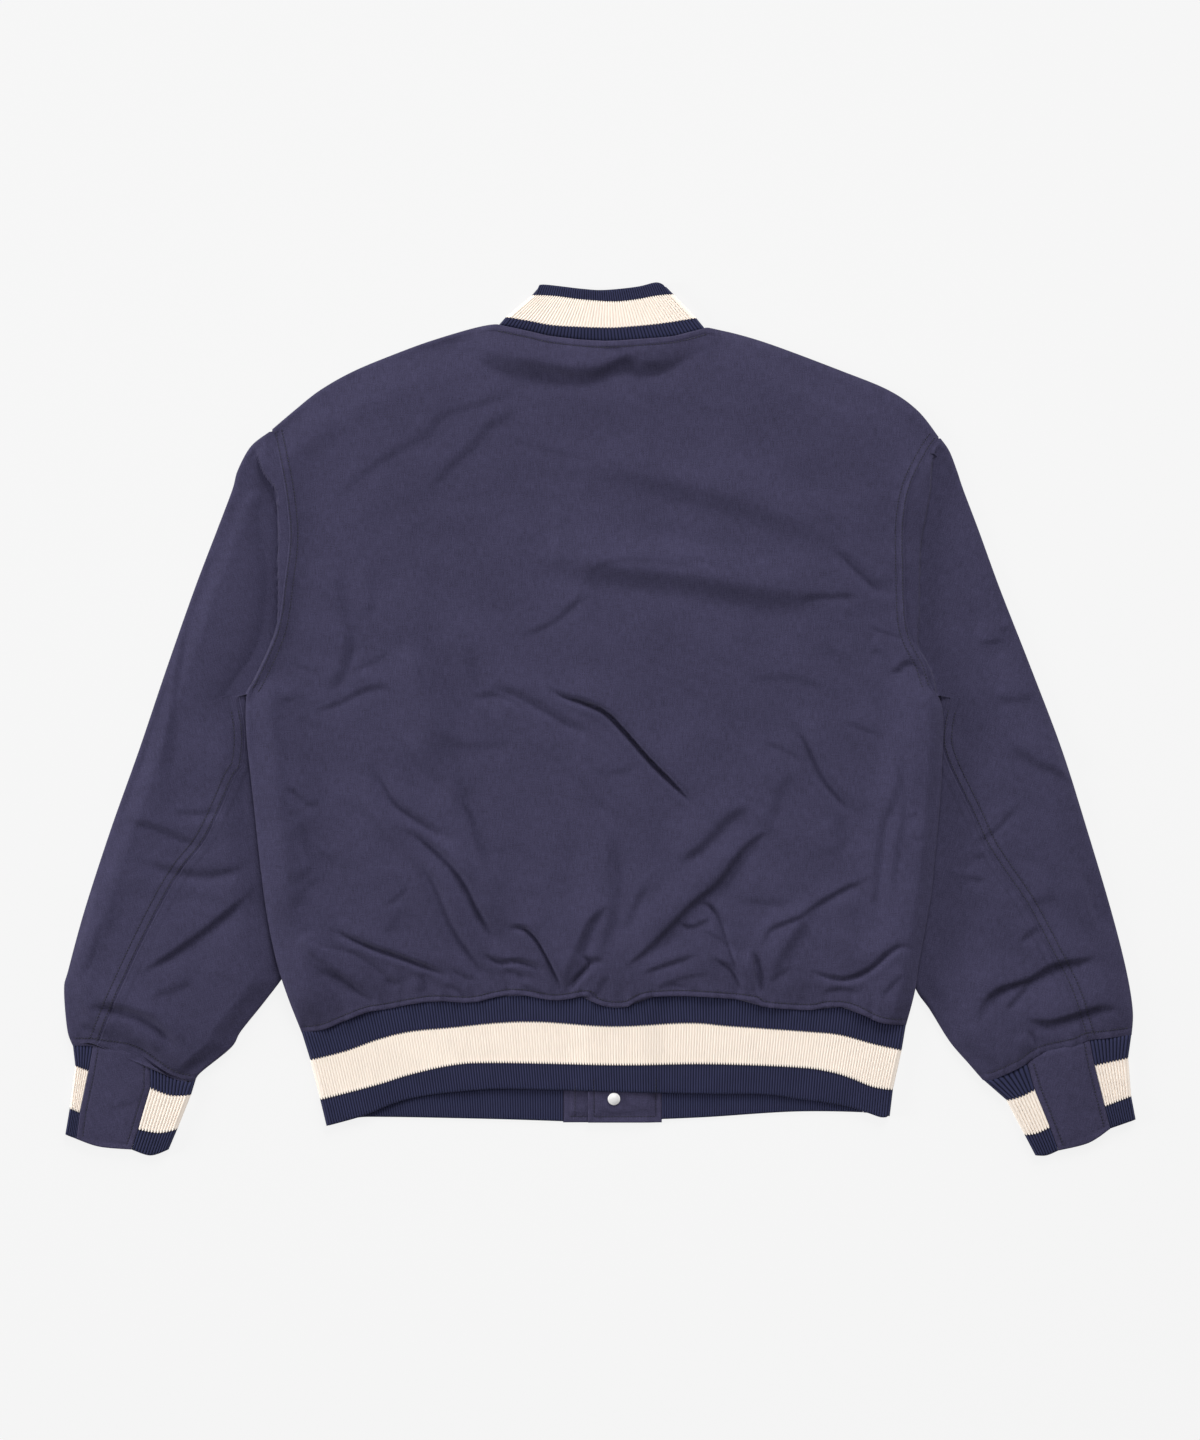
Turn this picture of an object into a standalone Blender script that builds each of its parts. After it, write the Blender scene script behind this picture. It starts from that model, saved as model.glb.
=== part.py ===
"""Varsity jacket laid flat on a table with its back up.

Every sewn piece is one closed wall of cloth or rib knit. +X is the wearer's right, +Y points to the
collar and +Z up from the table. The fronts and the undersides of the sleeves lie flat on the table,
the back and the upper sides lie on them, and the side edges of the body lie over the sleeves.
Tables are in millimetres. in_metres turns them into metres when a mesh is made.
"""

import math

import bmesh
import bpy

MM = 0.001
MIDDLE = (-0.1, 0.8)    # middle of the jacket's outline in the tables, which the origin lies under

# Walls and clearances
CLOTH = 2.0             # twill wall
RIB = 2.6               # knitted band's wall, measured on its ribs
RIB_GROOVE = 0.7        # depth of the grooves between two ribs
HEM_END = 2.2           # cloth ends of the hem, a doubled but pressed cloth
SEAM = 0.3              # gap between two pieces at a seam
ARMHOLE_SEAM = 0.6      # the same round the armhole, whose two sides bend in different steps
HEM_SEAM_GAP = 0.7      # the same along the gathered hem, whose edges cut its corners
LAYER = 0.4             # gap between two layers that lie on each other

# Heights above the table
EDGE_HEIGHT = 2 * CLOTH + LAYER          # two layers of cloth at a folded edge
BODY_EDGE_HEIGHT = EDGE_HEIGHT + 0.4     # the same along the body's sides and shoulders
SLEEVE_LIFT = EDGE_HEIGHT + 0.7          # how far the body's side edges ride up on the sleeves
BODY_PUFF = 2.2                          # how much the back swells between its edges
SLEEVE_PUFF = 1.4                        # the same on a sleeve
LAP_RISE = 2.4                           # second front over the first one
BACK_LAP_RISE = 2.0                      # how much of it shows in the back
HEM_LAP_RISE = 1.6                       # and in the back of the hem
ARMHOLE_RIDGE = 1.8                      # height of the pressed seam round the armhole
ARMHOLE_RIDGE_WIDTH = 15.0
ARMHOLE_RIDGE_END = 262.0                # y where it dies out at the shoulder
ARMHOLE_RIDGE_FADE = 40.0
HEM_HEIGHT = 2 * RIB + 1.0               # two layers of rib knit
CUFF_HEIGHT = 2 * RIB + 0.6
COLLAR_HEIGHT = 2 * RIB + 0.8

# Widths of soft transitions, measured in from an edge
PUFF_REACH = 40.0
SLEEVE_PUFF_REACH = 35.0
LIFT_REACH = 40.0
LIFT_MARGIN = 10.0              # how far past the hidden sleeve the full lift reaches
FOLD_FADE = 22.0
SHOULDER_SOFT = 0.03            # share of the width over which the shoulder's roll ends at the neck
ARMHOLE_BLEND = (3.0, 9.0)      # start and width of the strip where a sleeve takes the back's height
CUFF_BEND_START = 0.75          # share of the forearm where its rows start to bend to the cuff's line
CUFF_RISE_START = 0.8           # share where its edges start to rise to the thicker cuff
HIDDEN_STRIP = 20.0             # inner strip of a sleeve that stays flat, because the body lies on it

# How finely each piece is divided
BACK_ROWS = 26
BACK_COLUMNS = (8, 10, 8)       # left shoulder, neck, right shoulder
FRONT_ROWS = 13                 # each as long as two rows of the back
FRONT_EDGE_STEPS = (27.0, 62.0) # distances from the side of the lines where a front climbs
FRONT_SHOULDER_SPANS = 2
FRONT_NECK_SPANS = 5            # beside the left front's neckline
LAP_SPANS = 2                   # beside the right front's neckline, on the lap's climb and over the lap
ARM_ROWS = 10                   # beside the armhole
FOREARM_ROWS = 15               # from the underarm to the cuff
SLEEVE_SPANS = 6                # across the upper sleeve, between its seam and its outer fold
SEAM_STATIONS = ((5.0, 0.2), (12.0, 0.45))  # lines beside the seam: distance, or share of a narrow top
UNDER_SPANS = 5                 # across the under sleeve
FOLD_ANGLES = (90, 45, 0, -45, -90)
ROLL_ANGLES = (0, 45)

# Ribs that show on each band
HEM_RIBS = 216
COLLAR_RIBS = 58
CUFF_RIBS_INNER = 10            # between the cuff's insert and its body-side edge
CUFF_RIBS_OUTER = 4

# Outline of the body: x, y
SHOULDER_LEFT = ((-302, 268), (-282, 285), (-258, 304), (-226, 322), (-182, 340), (-151, 351),
                 (-113, 362), (-95, 364))
SHOULDER_RIGHT = ((312, 261), (293, 285), (266, 304), (222, 322), (158, 346), (121, 357), (98, 361))
NECK = ((-95, 364), (-64, 357), (-41, 352), (4, 348), (50, 351), (73, 354), (98, 361))
SIDE_LEFT = ((-302, 268), (-292, 224), (-287, 189), (-286, 163), (-290, 127), (-297, 83), (-315, 41),
             (-324, 25), (-326, 10), (-325, -18), (-319, -74), (-311, -147), (-304, -193), (-294, -235),
             (-275, -288))
SIDE_RIGHT = ((312, 261), (301, 245), (286, 215), (280, 182), (280, 136), (282, 92), (288, 71), (298, 52),
              (305, 30), (313, 18), (316, 0), (315, -37), (313, -74), (308, -129), (304, -166),
              (294, -221), (290, -248), (282, -281))
HEM_SEAM = ((-275, -288), (-255, -285), (-235, -277), (-214, -269), (-195, -266), (-155, -259),
            (-119, -260), (-95, -255), (-75, -253), (-41, -258), (-11, -254), (9, -264), (23, -264),
            (45, -255), (72, -254), (101, -255), (141, -259), (151, -264), (191, -267), (211, -264),
            (231, -266), (257, -278), (282, -281))
NECKLINE_LEFT = ((-95, 364), (-87, 339), (-64, 310), (-28, 290), (0, 285), (35, 285))
NECKLINE_RIGHT = ((98, 361), (93, 339), (72, 310), (41, 290), (18, 285), (-11, 285))
FRONT_EDGE_LEFT = 35.0          # x of the left front's centre edge, which lies on the table
FRONT_EDGE_RIGHT = -11.0        # x of the right front's centre edge, which lies on the left front
LAP_START = 56.0                # x where the right front starts to climb on the left one
LAP_RUN = 14.0
LAP_SHOWS = (-32.0, 62.0)       # x between which the lap lifts the back
LAP_SOFT = 20.0
FRONT_SEAM = -285.5             # y where the fronts meet the hem
FRONT_ARMHOLE_TRIM = 3.0        # the fronts' long rows cut the armhole's curve, so it lies this far in

# Where the armhole ends and the side starts
UNDERARM = 20.0                 # y of the underarm
UNDERARM_RUN = 28.0             # length of the body's climb on the sleeve
UNDERARM_MARGIN = 4.0           # how far above the underarm the climb ends
SIDE_ROLL_RUN = 8.0             # length over which the side's fold starts
LIFT_END = -292.0               # y where the lifted side edges are down again
LIFT_END_RUN = 36.0

# Sleeves, each line from the armhole to the cuff: outer fold, inner fold, which starts hidden under
# the body, and the seam between the upper and the under sleeve. The cuff's line runs from the outer
# to the inner fold, and the insert lies between two shares of it.
SLEEVES = {
    "left": {
        "outer": ((-310, 261), (-322, 252), (-334, 230), (-339, 212), (-353, 175), (-374, 120),
                  (-400, 46), (-425, -28), (-451, -101), (-475, -175), (-490, -230), (-494, -248),
                  (-491, -285), (-486, -300)),
        "inner": ((-317, 0), (-304, -55), (-294, -120), (-287, -184), (-285, -223), (-292, -237),
                  (-311, -262), (-331, -287), (-340, -302), (-368, -325), (-373, -333)),
        "seam": ((-333, 20), (-328, -14), (-331, -44), (-337, -52), (-362, -107), (-390, -145),
                 (-419, -200), (-447, -261), (-463, -300)),
        "cuff": ((-486, -300), (-467, -300), (-454, -302), (-439, -304), (-427, -308), (-413, -317),
                 (-397, -328), (-379, -334), (-373, -333)),
        "insert": (0.155, 0.62),
    },
    "right": {
        "outer": ((319, 255), (322, 248), (329, 230), (335, 212), (349, 175), (369, 120), (398, 46),
                  (426, -28), (449, -101), (471, -175), (485, -230), (491, -267), (490, -290)),
        "inner": ((308, 0), (300, -55), (293, -120), (286, -184), (283, -225), (292, -250),
                  (304, -267), (322, -296), (340, -317), (353, -332)),
        "seam": ((322, 20), (316, -6), (318, -32), (342, -84), (355, -113), (370, -137), (393, -171),
                 (415, -213), (432, -247), (448, -296)),
        "cuff": ((490, -290), (466, -293), (449, -295), (437, -300), (407, -307), (390, -318), (378, -324),
                 (362, -331), (353, -332)),
        "insert": (0.27, 0.70),
    },
}
ARMHOLE_SHARE_OUTSIDE = 0.45    # part of the outer fold that faces the armhole
FRONT_SEAM_SHARES = (0.9, 0.78) # place of the hidden front seam at the underarm and further down
FRONT_SEAM_TURN = 0.25          # share of the forearm over which it gets there
BACK_SEAM_MARGIN = 9.0          # least distance of the back seam from the inner fold

# Cuffs: a row for each stripe edge and the last for the free edge.
# outer fold, insert's outer edge, insert's inner edge, middle of the inner stretch, inner fold
CUFFS = {
    "left": (
        ((-483.5, -318.3), (-471.0, -322.9), (-414.0, -338.6), (-395.6, -345.3), (-376.7, -345.0)),
        ((-488.5, -357.0), (-478.9, -360.6), (-425.0, -376.3), (-405.7, -379.5), (-389.2, -376.3)),
        ((-492.7, -381.8), (-482.1, -385.9), (-431.5, -395.6), (-414.0, -401.1), (-397.4, -395.6)),
    ),
    "right": (
        ((486.7, -311.0), (455.4, -317.9), (400.2, -340.4), (387.3, -346.8), (374.4, -350.1)),
        ((489.4, -345.9), (464.6, -355.1), (414.0, -374.4), (402.0, -380.0), (391.0, -381.8)),
        ((493.6, -368.0), (470.1, -376.3), (422.3, -396.5), (411.2, -401.1), (401.1, -401.1)),
    ),
}
INSERT_FREE_MIDDLE = {"left": (-461.0, -393.0), "right": (450.0, -389.5)}
CUFF_SEAM = 0.7                 # gap between a cuff and the sleeve, whose edges bend in different steps

# Hem: stripe edges and free edges of its back, and the free edge of its front, each from left to right
HEM_UPPER_STRIPE = ((-267, -313), (-235, -305), (-204, -294), (-175, -287), (-135, -283), (-95, -279),
                    (-55, -278), (11, -282), (81, -279), (121, -282), (191, -287), (221, -290),
                    (251, -298), (278, -304))
HEM_LOWER_STRIPE = ((-258, -349), (-204, -335), (-175, -326), (-135, -317), (-95, -315), (18, -317),
                    (101, -316), (181, -319), (211, -323), (231, -329), (251, -337), (270, -340))
HEM_BACK_EDGE = ((-252, -374), (-226, -367), (-211, -362), (-189, -353), (-165, -347), (-135, -343),
                 (-95, -340), (-35, -341), (18, -342.5), (101, -344.5), (151, -345), (181, -349),
                 (211, -353), (231, -357), (247, -362), (259, -366), (267, -365))
HEM_FRONT_LEFT = ((-252, -374), (-226, -367), (-195, -366), (-95, -368), (-34, -370))
HEM_FRONT_RIGHT = ((267, -365), (259, -366), (247, -362), (181, -361), (101, -366), (57, -368))
HEM_END_LEFT = -34.0            # x where the left cloth end meets the rib
HEM_END_RIGHT = 57.0            # the same on the right
HEM_END_LOW = -371.0            # y of the cloth ends' free edge
HEM_STRIPE_SHARES = (0.31, 0.72)    # the stripe edges' places where the rib meets the cloth ends

# Collar: rows at the neck seam, both stripe edges and the top, each from left to right over the back
COLLAR_LOWER_STRIPE = ((-87, 371), (-64, 367), (-41, 363), (4, 361), (27, 362), (57, 365), (89, 370))
COLLAR_UPPER_STRIPE = ((-63, 391), (-41, 390), (-18, 387), (12, 385), (34, 387), (50, 390), (68, 392))
COLLAR_TOP = ((-57, 398), (-52, 401), (-16, 397), (4, 396), (34, 399), (52, 403), (61, 399))
COLLAR_FRONT_X = 13.0           # x where the two front ends of the collar meet
COLLAR_FRONT_LOW = 285.5        # y of those ends at the neckline
COLLAR_FRONT_TOP = 334.0        # y of their upper corner
COLLAR_FRONT_DIP = ((0.1, 374), (0.42, 350), (0.75, 338))   # the free edge: share of the way, y
COLLAR_FRONT_STEPS = 12
COLLAR_ROW_SHARE = (0.0, 0.27, 0.79, 1.0)
COLLAR_INSET = (0.5, 0.8)       # from the fronts' necklines to the collar
STRIPES = (0, 1, 0)             # navy, cream, navy from the seam to the free edge
BAND_FRONT_SPANS = 5
CUFF_SPANS_INNER = 8            # along the cuff's seam, beside the insert
CUFF_SPANS_OUTER = 4
INSERT_SPANS = 6
BAND_END = 0.02                 # share of a band's back beside its folds with no inner points

# Largest folds, as soft ridges: start, middle and end (x, y), height, half width
BODY_FOLDS = (
    ((37, 161), (147, 147), (236, 113), 3.0, 22),
    ((-55, 22), (-8, -8), (84, -92), 3.6, 24),
    ((-240, 147), (-236, 64), (-247, 18), 2.6, 22),
    ((-165, 60), (-140, 25), (-95, 5), 2.2, 22),
    ((-212, -46), (-133, -143), (-97, -207), 3.2, 22),
    ((-245, -200), (-184, -222), (-141, -243), 3.2, 20),
    ((150, -98), (113, -138), (12, -228), 3.6, 22),
    ((179, -5), (198, -41), (235, -87), 2.6, 20),
    ((193, -233), (244, -228), (285, -212), 2.4, 18),
    ((-83, -193), (-41, -225), (-29, -251), 2.2, 18),
    ((101, -173), (121, -216), (138, -235), 2.2, 18),
    ((-161, -129), (-140, -180), (-115, -225), 2.0, 20),
    ((-92, 294), (-138, 276), (-193, 244), 1.6, 24),
    ((-74, 202), (-50, 196), (23, 216), 1.6, 22),
    ((9, -179), (-20, -212), (-29, -248), 2.0, 18),
    ((-40, 328), (10, 318), (60, 330), 1.2, 20),
)
SLEEVE_FOLDS = {
    "left": (
        ((-400, -99), (-363, -106), (-348, -117), 2.4, 20),
        ((-432, -129), (-386, -145), (-315, -133), 2.0, 20),
        ((-309, -155), (-363, -204), (-423, -235), 3.0, 22),
        ((-469, -269), (-428, -271), (-386, -310), 3.2, 20),
        ((-391, 64), (-384, 18), (-386, -28), 1.6, 24),
    ),
    "right": (
        ((293, 74), (345, 66), (383, 83), 2.4, 20),
        ((313, 0), (335, 6), (354, 4), 2.0, 20),
        ((368, -26), (390, -42), (409, -53), 2.0, 20),
        ((388, -76), (354, -110), (340, -120), 2.0, 20),
        ((478, -221), (423, -232), (348, -285), 3.0, 22),
        ((388, -276), (432, -274), (474, -267), 2.8, 20),
        ((317, -127), (338, -126), (359, -124), 1.6, 20),
    ),
}
FOLD_STEPS = 10                 # points tried along a fold to find the nearest
FOLD_TAPER = 0.12               # how near a fold's ends come to nothing: 0 is all the way

# Snaps down the lap
SNAP_COUNT = 7
SNAP_TOP = 266.0                # y of the highest snap
SNAP_PITCH = 102.5
SNAP_X = 12.9
SNAP_RADIUS = 5.7
SNAP_RIM = 0.7                  # height of the cap's straight rim
SNAP_DOME = 2.0                 # height of the cap that shows
SNAP_FLAT = 1.0                 # height of the caps between the layers
SNAP_CHAMFER = 0.6
SNAP_DOME_ANGLES = (30, 60)
SNAP_SIDES = 24
SNAP_SIDES_HIDDEN = 10

# Finishes: colour (linear), roughness, metallic
TWILL_COLOUR = (0.054, 0.048, 0.095)
RIB_NAVY_COLOUR = (0.024, 0.026, 0.058)
RIB_CREAM_COLOUR = (0.90, 0.81, 0.72)
SNAP_COLOUR = (0.82, 0.81, 0.80)
SHARP = math.radians(50)        # edges steeper than this stay sharp


def in_metres(point):
    """Place of a table point in the frame."""
    return ((point[0] - MIDDLE[0]) * MM, (point[1] - MIDDLE[1]) * MM, point[2] * MM)


def lerp(start, end, share):
    """Value at a share of the way from start to end."""
    return start + (end - start) * share


def mix(first, second, share):
    """Point in plan at a share of the way from the first to the second."""
    return (lerp(first[0], second[0], share), lerp(first[1], second[1], share))


def smooth(value):
    """Soft step from 0 to 1."""
    value = min(max(value, 0.0), 1.0)
    return value * value * (3.0 - 2.0 * value)


def unit(start, end):
    """Direction in plan from start to end."""
    length = math.dist(start, end)
    return ((end[0] - start[0]) / length, (end[1] - start[1]) / length)


class Line:
    """Straight-sided line in plan, read by its share of length."""

    def __init__(self, points):
        self.points = [tuple(map(float, point)) for point in points]
        reach = [0.0]
        for first, second in zip(self.points, self.points[1:]):
            reach.append(reach[-1] + math.dist(first, second))
        self.length = reach[-1]
        self.marks = [distance / self.length for distance in reach]

    def at(self, share):
        share = min(max(share, 0.0), 1.0)
        index = 0
        while index < len(self.marks) - 2 and self.marks[index + 1] < share:
            index += 1
        span = self.marks[index + 1] - self.marks[index]
        return mix(self.points[index], self.points[index + 1], (share - self.marks[index]) / span)


class Curve(Line):
    """Smooth line in plan through a few points."""

    STEPS = 12

    def __init__(self, points):
        knots = [points[0], *points, points[-1]]
        fine = []
        for before, start, end, after in zip(knots, knots[1:], knots[2:], knots[3:]):
            for step in range(self.STEPS):
                fine.append(self.between(before, start, end, after, step / self.STEPS))
        fine.append(points[-1])
        super().__init__(fine)

    @staticmethod
    def between(before, start, end, after, t):
        """Catmull-Rom point between start and end."""
        point = []
        for axis in (0, 1):
            a, b, c, d = before[axis], start[axis], end[axis], after[axis]
            bend = 2 * b + (c - a) * t + (2 * a - 5 * b + 4 * c - d) * t ** 2
            point.append(0.5 * (bend + (3 * b - a - 3 * c + d) * t ** 3))
        return tuple(point)


class Chain:
    """Lines that follow each other, each with its own stretch of the share from 0 to 1."""

    def __init__(self, lines, ends):
        self.lines = lines
        self.ends = (0.0, *ends, 1.0)

    def at(self, share):
        index = 0
        while index < len(self.lines) - 1 and share > self.ends[index + 1]:
            index += 1
        start, end = self.ends[index], self.ends[index + 1]
        return self.lines[index].at((share - start) / (end - start))


class Patch:
    """Four-sided sheet in plan between its boundary lines: u runs across, v from top to bottom."""

    def __init__(self, top, bottom, left, right):
        self.top, self.bottom, self.left, self.right = top, bottom, left, right

    def at(self, u, v):
        top, bottom = self.top.at(u), self.bottom.at(u)
        left, right = self.left.at(v), self.right.at(v)
        top_chord = mix(self.top.at(0), self.top.at(1), u)
        bottom_chord = mix(self.bottom.at(0), self.bottom.at(1), u)
        corners = mix(top_chord, bottom_chord, v)
        across, down = mix(left, right, u), mix(top, bottom, v)
        return (across[0] + down[0] - corners[0], across[1] + down[1] - corners[1])


def fold_height(x, y, folds):
    """Sum of the soft ridges at a point."""
    total = 0.0
    for start, middle, end, height, half_width in folds:
        nearest, place = half_width, 0.0
        for step in range(FOLD_STEPS + 1):
            t = step / FOLD_STEPS
            point = mix(mix(start, middle, t), mix(middle, end, t), t)
            distance = math.dist(point, (x, y))
            if distance < nearest:
                nearest, place = distance, t
        taper = math.sin(math.pi * lerp(FOLD_TAPER, 1.0 - FOLD_TAPER, place))
        total += height * taper * smooth(1.0 - nearest / half_width)
    return total


def on_side(y):
    """0 beside the armhole, 1 along the side below the underarm."""
    return smooth((UNDERARM + UNDERARM_RUN - UNDERARM_MARGIN - y) / UNDERARM_RUN)


def hidden_edge(y, side):
    """x of the sleeve's inner fold under the body at a given y."""
    points = SLEEVES[side]["inner"][:5]
    for (x0, y0), (x1, y1) in zip(points, points[1:]):
        if y >= y1:
            return lerp(x0, x1, min(max((y0 - y) / (y0 - y1), 0.0), 1.0))
    return points[-1][0]


def lift(x, y):
    """Height of the table-side of the body, which rides up on the sleeves along its sides."""
    inside = min(x - hidden_edge(y, "left"), hidden_edge(y, "right") - x) - LIFT_MARGIN
    window = on_side(y) * smooth((y - LIFT_END) / LIFT_END_RUN)
    return SLEEVE_LIFT * window * (1.0 - smooth(inside / LIFT_REACH))


def over_lap(x):
    """1 where the two fronts lie on each other, soft to both sides."""
    return smooth((x - LAP_SHOWS[0]) / LAP_SOFT) * smooth((LAP_SHOWS[1] - x) / LAP_SOFT)


def side_roll(y):
    """1 where the body's side is folded, 0 along the armhole."""
    return smooth((UNDERARM + UNDERARM_MARGIN - y) / SIDE_ROLL_RUN)


def finish(name, colour, roughness, metallic=0.0):
    """Material of one kind of piece."""
    material = bpy.data.materials.new(name)
    material.use_nodes = True
    shader = material.node_tree.nodes["Principled BSDF"]
    shader.inputs["Base Color"].default_value = (*colour, 1.0)
    shader.inputs["Roughness"].default_value = roughness
    shader.inputs["Metallic"].default_value = metallic
    material.diffuse_color = (*colour, 1.0)
    return material


def zip_rim(mesh, first, first_at, second, second_at):
    """Close the wall between two rims, whose vertices have their own places along it."""
    i = j = 0
    while i < len(first) - 1 or j < len(second) - 1:
        next_first = first_at[i + 1] if i < len(first) - 1 else math.inf
        next_second = second_at[j + 1] if j < len(second) - 1 else math.inf
        if abs(next_first - next_second) < 1e-6:
            mesh.faces.new((first[i], first[i + 1], second[j + 1], second[j]))
            i, j = i + 1, j + 1
        elif next_first < next_second:
            mesh.faces.new((first[i], first[i + 1], second[j]))
            i += 1
        else:
            mesh.faces.new((first[i], second[j + 1], second[j]))
            j += 1


def sheet(name, materials, outer, inner, outer_at=None, inner_at=None, bands=None):
    """Wall between an outer and an inner grid of points. Their rows match and their columns may not."""
    outer_at = outer_at or list(range(len(outer[0])))
    inner_at = inner_at or list(range(len(inner[0])))
    mesh = bmesh.new()
    grids = []
    for grid in (outer, inner):
        rows = [[mesh.verts.new(in_metres(point)) for point in row] for row in grid]
        grids.append(rows)
        for k in range(len(rows) - 1):
            for j in range(len(rows[k]) - 1):
                face = mesh.faces.new((rows[k][j], rows[k][j + 1], rows[k + 1][j + 1], rows[k + 1][j]))
                face.material_index = bands[k] if bands else 0
    for row in (0, -1):
        zip_rim(mesh, grids[0][row], outer_at, grids[1][row], inner_at)
    rows_at = list(range(len(outer)))
    for column in (0, -1):
        edges = [[row[column] for row in grid] for grid in grids]
        zip_rim(mesh, edges[0], rows_at, edges[1], rows_at)
    bmesh.ops.recalc_face_normals(mesh, faces=mesh.faces)
    data = bpy.data.meshes.new(name)
    mesh.to_mesh(data)
    mesh.free()
    for material in materials:
        data.materials.append(material)
    data.shade_smooth()
    data.set_sharp_from_angle(angle=SHARP)
    piece = bpy.data.objects.new(name, data)
    bpy.context.scene.collection.objects.link(piece)
    return piece


def rolled(length, radius):
    """Shares of length at the steps of a quarter roll at its start, with each step's angle."""
    return [(radius * (1 - math.cos(math.radians(angle))) / length, angle) for angle in ROLL_ANGLES]


def evenly(start, end, spans):
    """Shares from start to end, without the start."""
    return [(lerp(start, end, (k + 1) / spans), 90) for k in range(spans)]


def fold_points(edge, outward, high, low, wall):
    """Outer and inner points of a half-round fold from the upper to the lower layer."""
    radius = (high - low) / 2
    middle = (high + low) / 2
    outer, inner = [], []
    for angle in FOLD_ANGLES:
        turn = math.radians(angle)
        for points, size in ((outer, radius), (inner, radius - wall)):
            reach = size * math.cos(turn) - radius
            height = middle + size * math.sin(turn)
            points.append((edge[0] + outward[0] * reach, edge[1] + outward[1] * reach, height))
    return outer, inner


def roll_point(plan, rolls, top, middle, wall, up):
    """Outer and inner point of a panel, rolled towards the middle plane near its edges."""
    rise = 1.0
    shift = [0.0, 0.0]
    for angle, weight, centre in rolls:
        rise *= 1.0 - weight * (1.0 - math.sin(math.radians(angle)))
        inward = unit(plan, centre)
        reach = wall * weight * math.cos(math.radians(angle))
        shift = [shift[0] + inward[0] * reach, shift[1] + inward[1] * reach]
    base = middle + up * SEAM / 2
    outer = (plan[0], plan[1], base + (top - base) * rise)
    inner = (plan[0] + shift[0], plan[1] + shift[1], base + (top - up * wall - base) * rise)
    return outer, inner


def back_height(x, y, from_side, from_shoulder, shoulder):
    """Top of the back at a point."""
    side = on_side(y)
    puff = 1.0 - side * (1.0 - smooth(from_side / PUFF_REACH))
    puff *= 1.0 - shoulder * (1.0 - smooth(from_shoulder / PUFF_REACH))
    ridge = ARMHOLE_RIDGE * math.exp(-(from_side / ARMHOLE_RIDGE_WIDTH) ** 2) * (1.0 - side)
    ridge *= smooth((ARMHOLE_RIDGE_END - y) / ARMHOLE_RIDGE_FADE)
    fade = smooth(from_side / FOLD_FADE) * smooth(from_shoulder / FOLD_FADE)
    folds = fold_height(x, y, BODY_FOLDS) * fade
    swell = puff * (BODY_PUFF + BACK_LAP_RISE * over_lap(x))
    return BODY_EDGE_HEIGHT + lift(x, y) + swell + ridge + folds


def back_panel(twill):
    """Back, folded down along the shoulders and the sides and cut square at neck, armholes and hem."""
    shoulder_left, neck = Curve(SHOULDER_LEFT), Curve(NECK)
    shoulder_right = Curve(SHOULDER_RIGHT[::-1])
    total = shoulder_left.length + neck.length + shoulder_right.length
    neck_start = shoulder_left.length / total
    neck_end = (shoulder_left.length + neck.length) / total
    top = Chain((shoulder_left, neck, shoulder_right), (neck_start, neck_end))
    patch = Patch(top, Curve(HEM_SEAM), Curve(SIDE_LEFT), Curve(SIDE_RIGHT))
    radius = BODY_EDGE_HEIGHT / 2
    row_count = BACK_ROWS + len(ROLL_ANGLES)
    outer, inner = [], []
    for k in range(row_count + 1):
        guess = k / row_count
        width = math.dist(patch.at(0, guess), patch.at(1, guess))
        edge = radius / width
        start = rolled(width, radius)
        columns = start + [(edge, 90)] + evenly(edge, neck_start, BACK_COLUMNS[0])
        columns += evenly(neck_start, neck_end, BACK_COLUMNS[1])
        columns += evenly(neck_end, 1 - edge, BACK_COLUMNS[2])
        columns += [(1 - share, angle) for share, angle in reversed(start)]
        outer_row, inner_row = [], []
        for u, side_angle in columns:
            length = math.dist(patch.at(u, 0), patch.at(u, 1))
            rows = rolled(length, radius) + [(radius / length, 90)] + evenly(radius / length, 1.0, BACK_ROWS)
            v, shoulder_angle = rows[k]
            x, y = patch.at(u, v)
            shoulder = smooth(max(neck_start - u, u - neck_end) / SHOULDER_SOFT)
            height = back_height(x, y, min(u, 1 - u) * width, v * length, shoulder)
            rolls = ((side_angle, side_roll(y), patch.at(0.5, v)),
                     (shoulder_angle, shoulder, patch.at(u, 0.5)))
            middle = lift(x, y) + BODY_EDGE_HEIGHT / 2
            point, under = roll_point((x, y), rolls, height, middle, CLOTH, 1)
            outer_row.append(point)
            inner_row.append(under)
        outer.append(outer_row)
        inner.append(inner_row)
    sheet("back_panel", (twill,), outer, inner)
    first_neck = len(ROLL_ANGLES) + BACK_COLUMNS[0]
    return {
        "hem": Line([point[:2] for point in outer[-1]]),
        "neck": Line([point[:2] for point in outer[0][first_neck:first_neck + BACK_COLUMNS[1] + 1]]),
        "left": [row[0] for row in outer],
        "right": [row[-1] for row in outer],
    }


def front_seam(x, side):
    """y where the front's lower edge lies at a given x."""
    corner = SIDE_LEFT[-1] if side == "left" else SIDE_RIGHT[-1]
    edge = FRONT_EDGE_LEFT if side == "left" else FRONT_EDGE_RIGHT
    return lerp(corner[1], FRONT_SEAM, (x - corner[0]) / (edge - corner[0]))


def share_at_x(patch, x, v):
    """Share across a patch where it reaches a given x."""
    low, high = 0.0, 1.0
    rising = patch.at(1, v)[0] > patch.at(0, v)[0]
    for _ in range(24):
        share = (low + high) / 2
        if (patch.at(share, v)[0] < x) == rising:
            low = share
        else:
            high = share
    return low


def lap_height(x, rise):
    """Height of the right front or its hem end where it lies on the left one."""
    return rise * smooth((LAP_START - x) / LAP_RUN)


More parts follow.
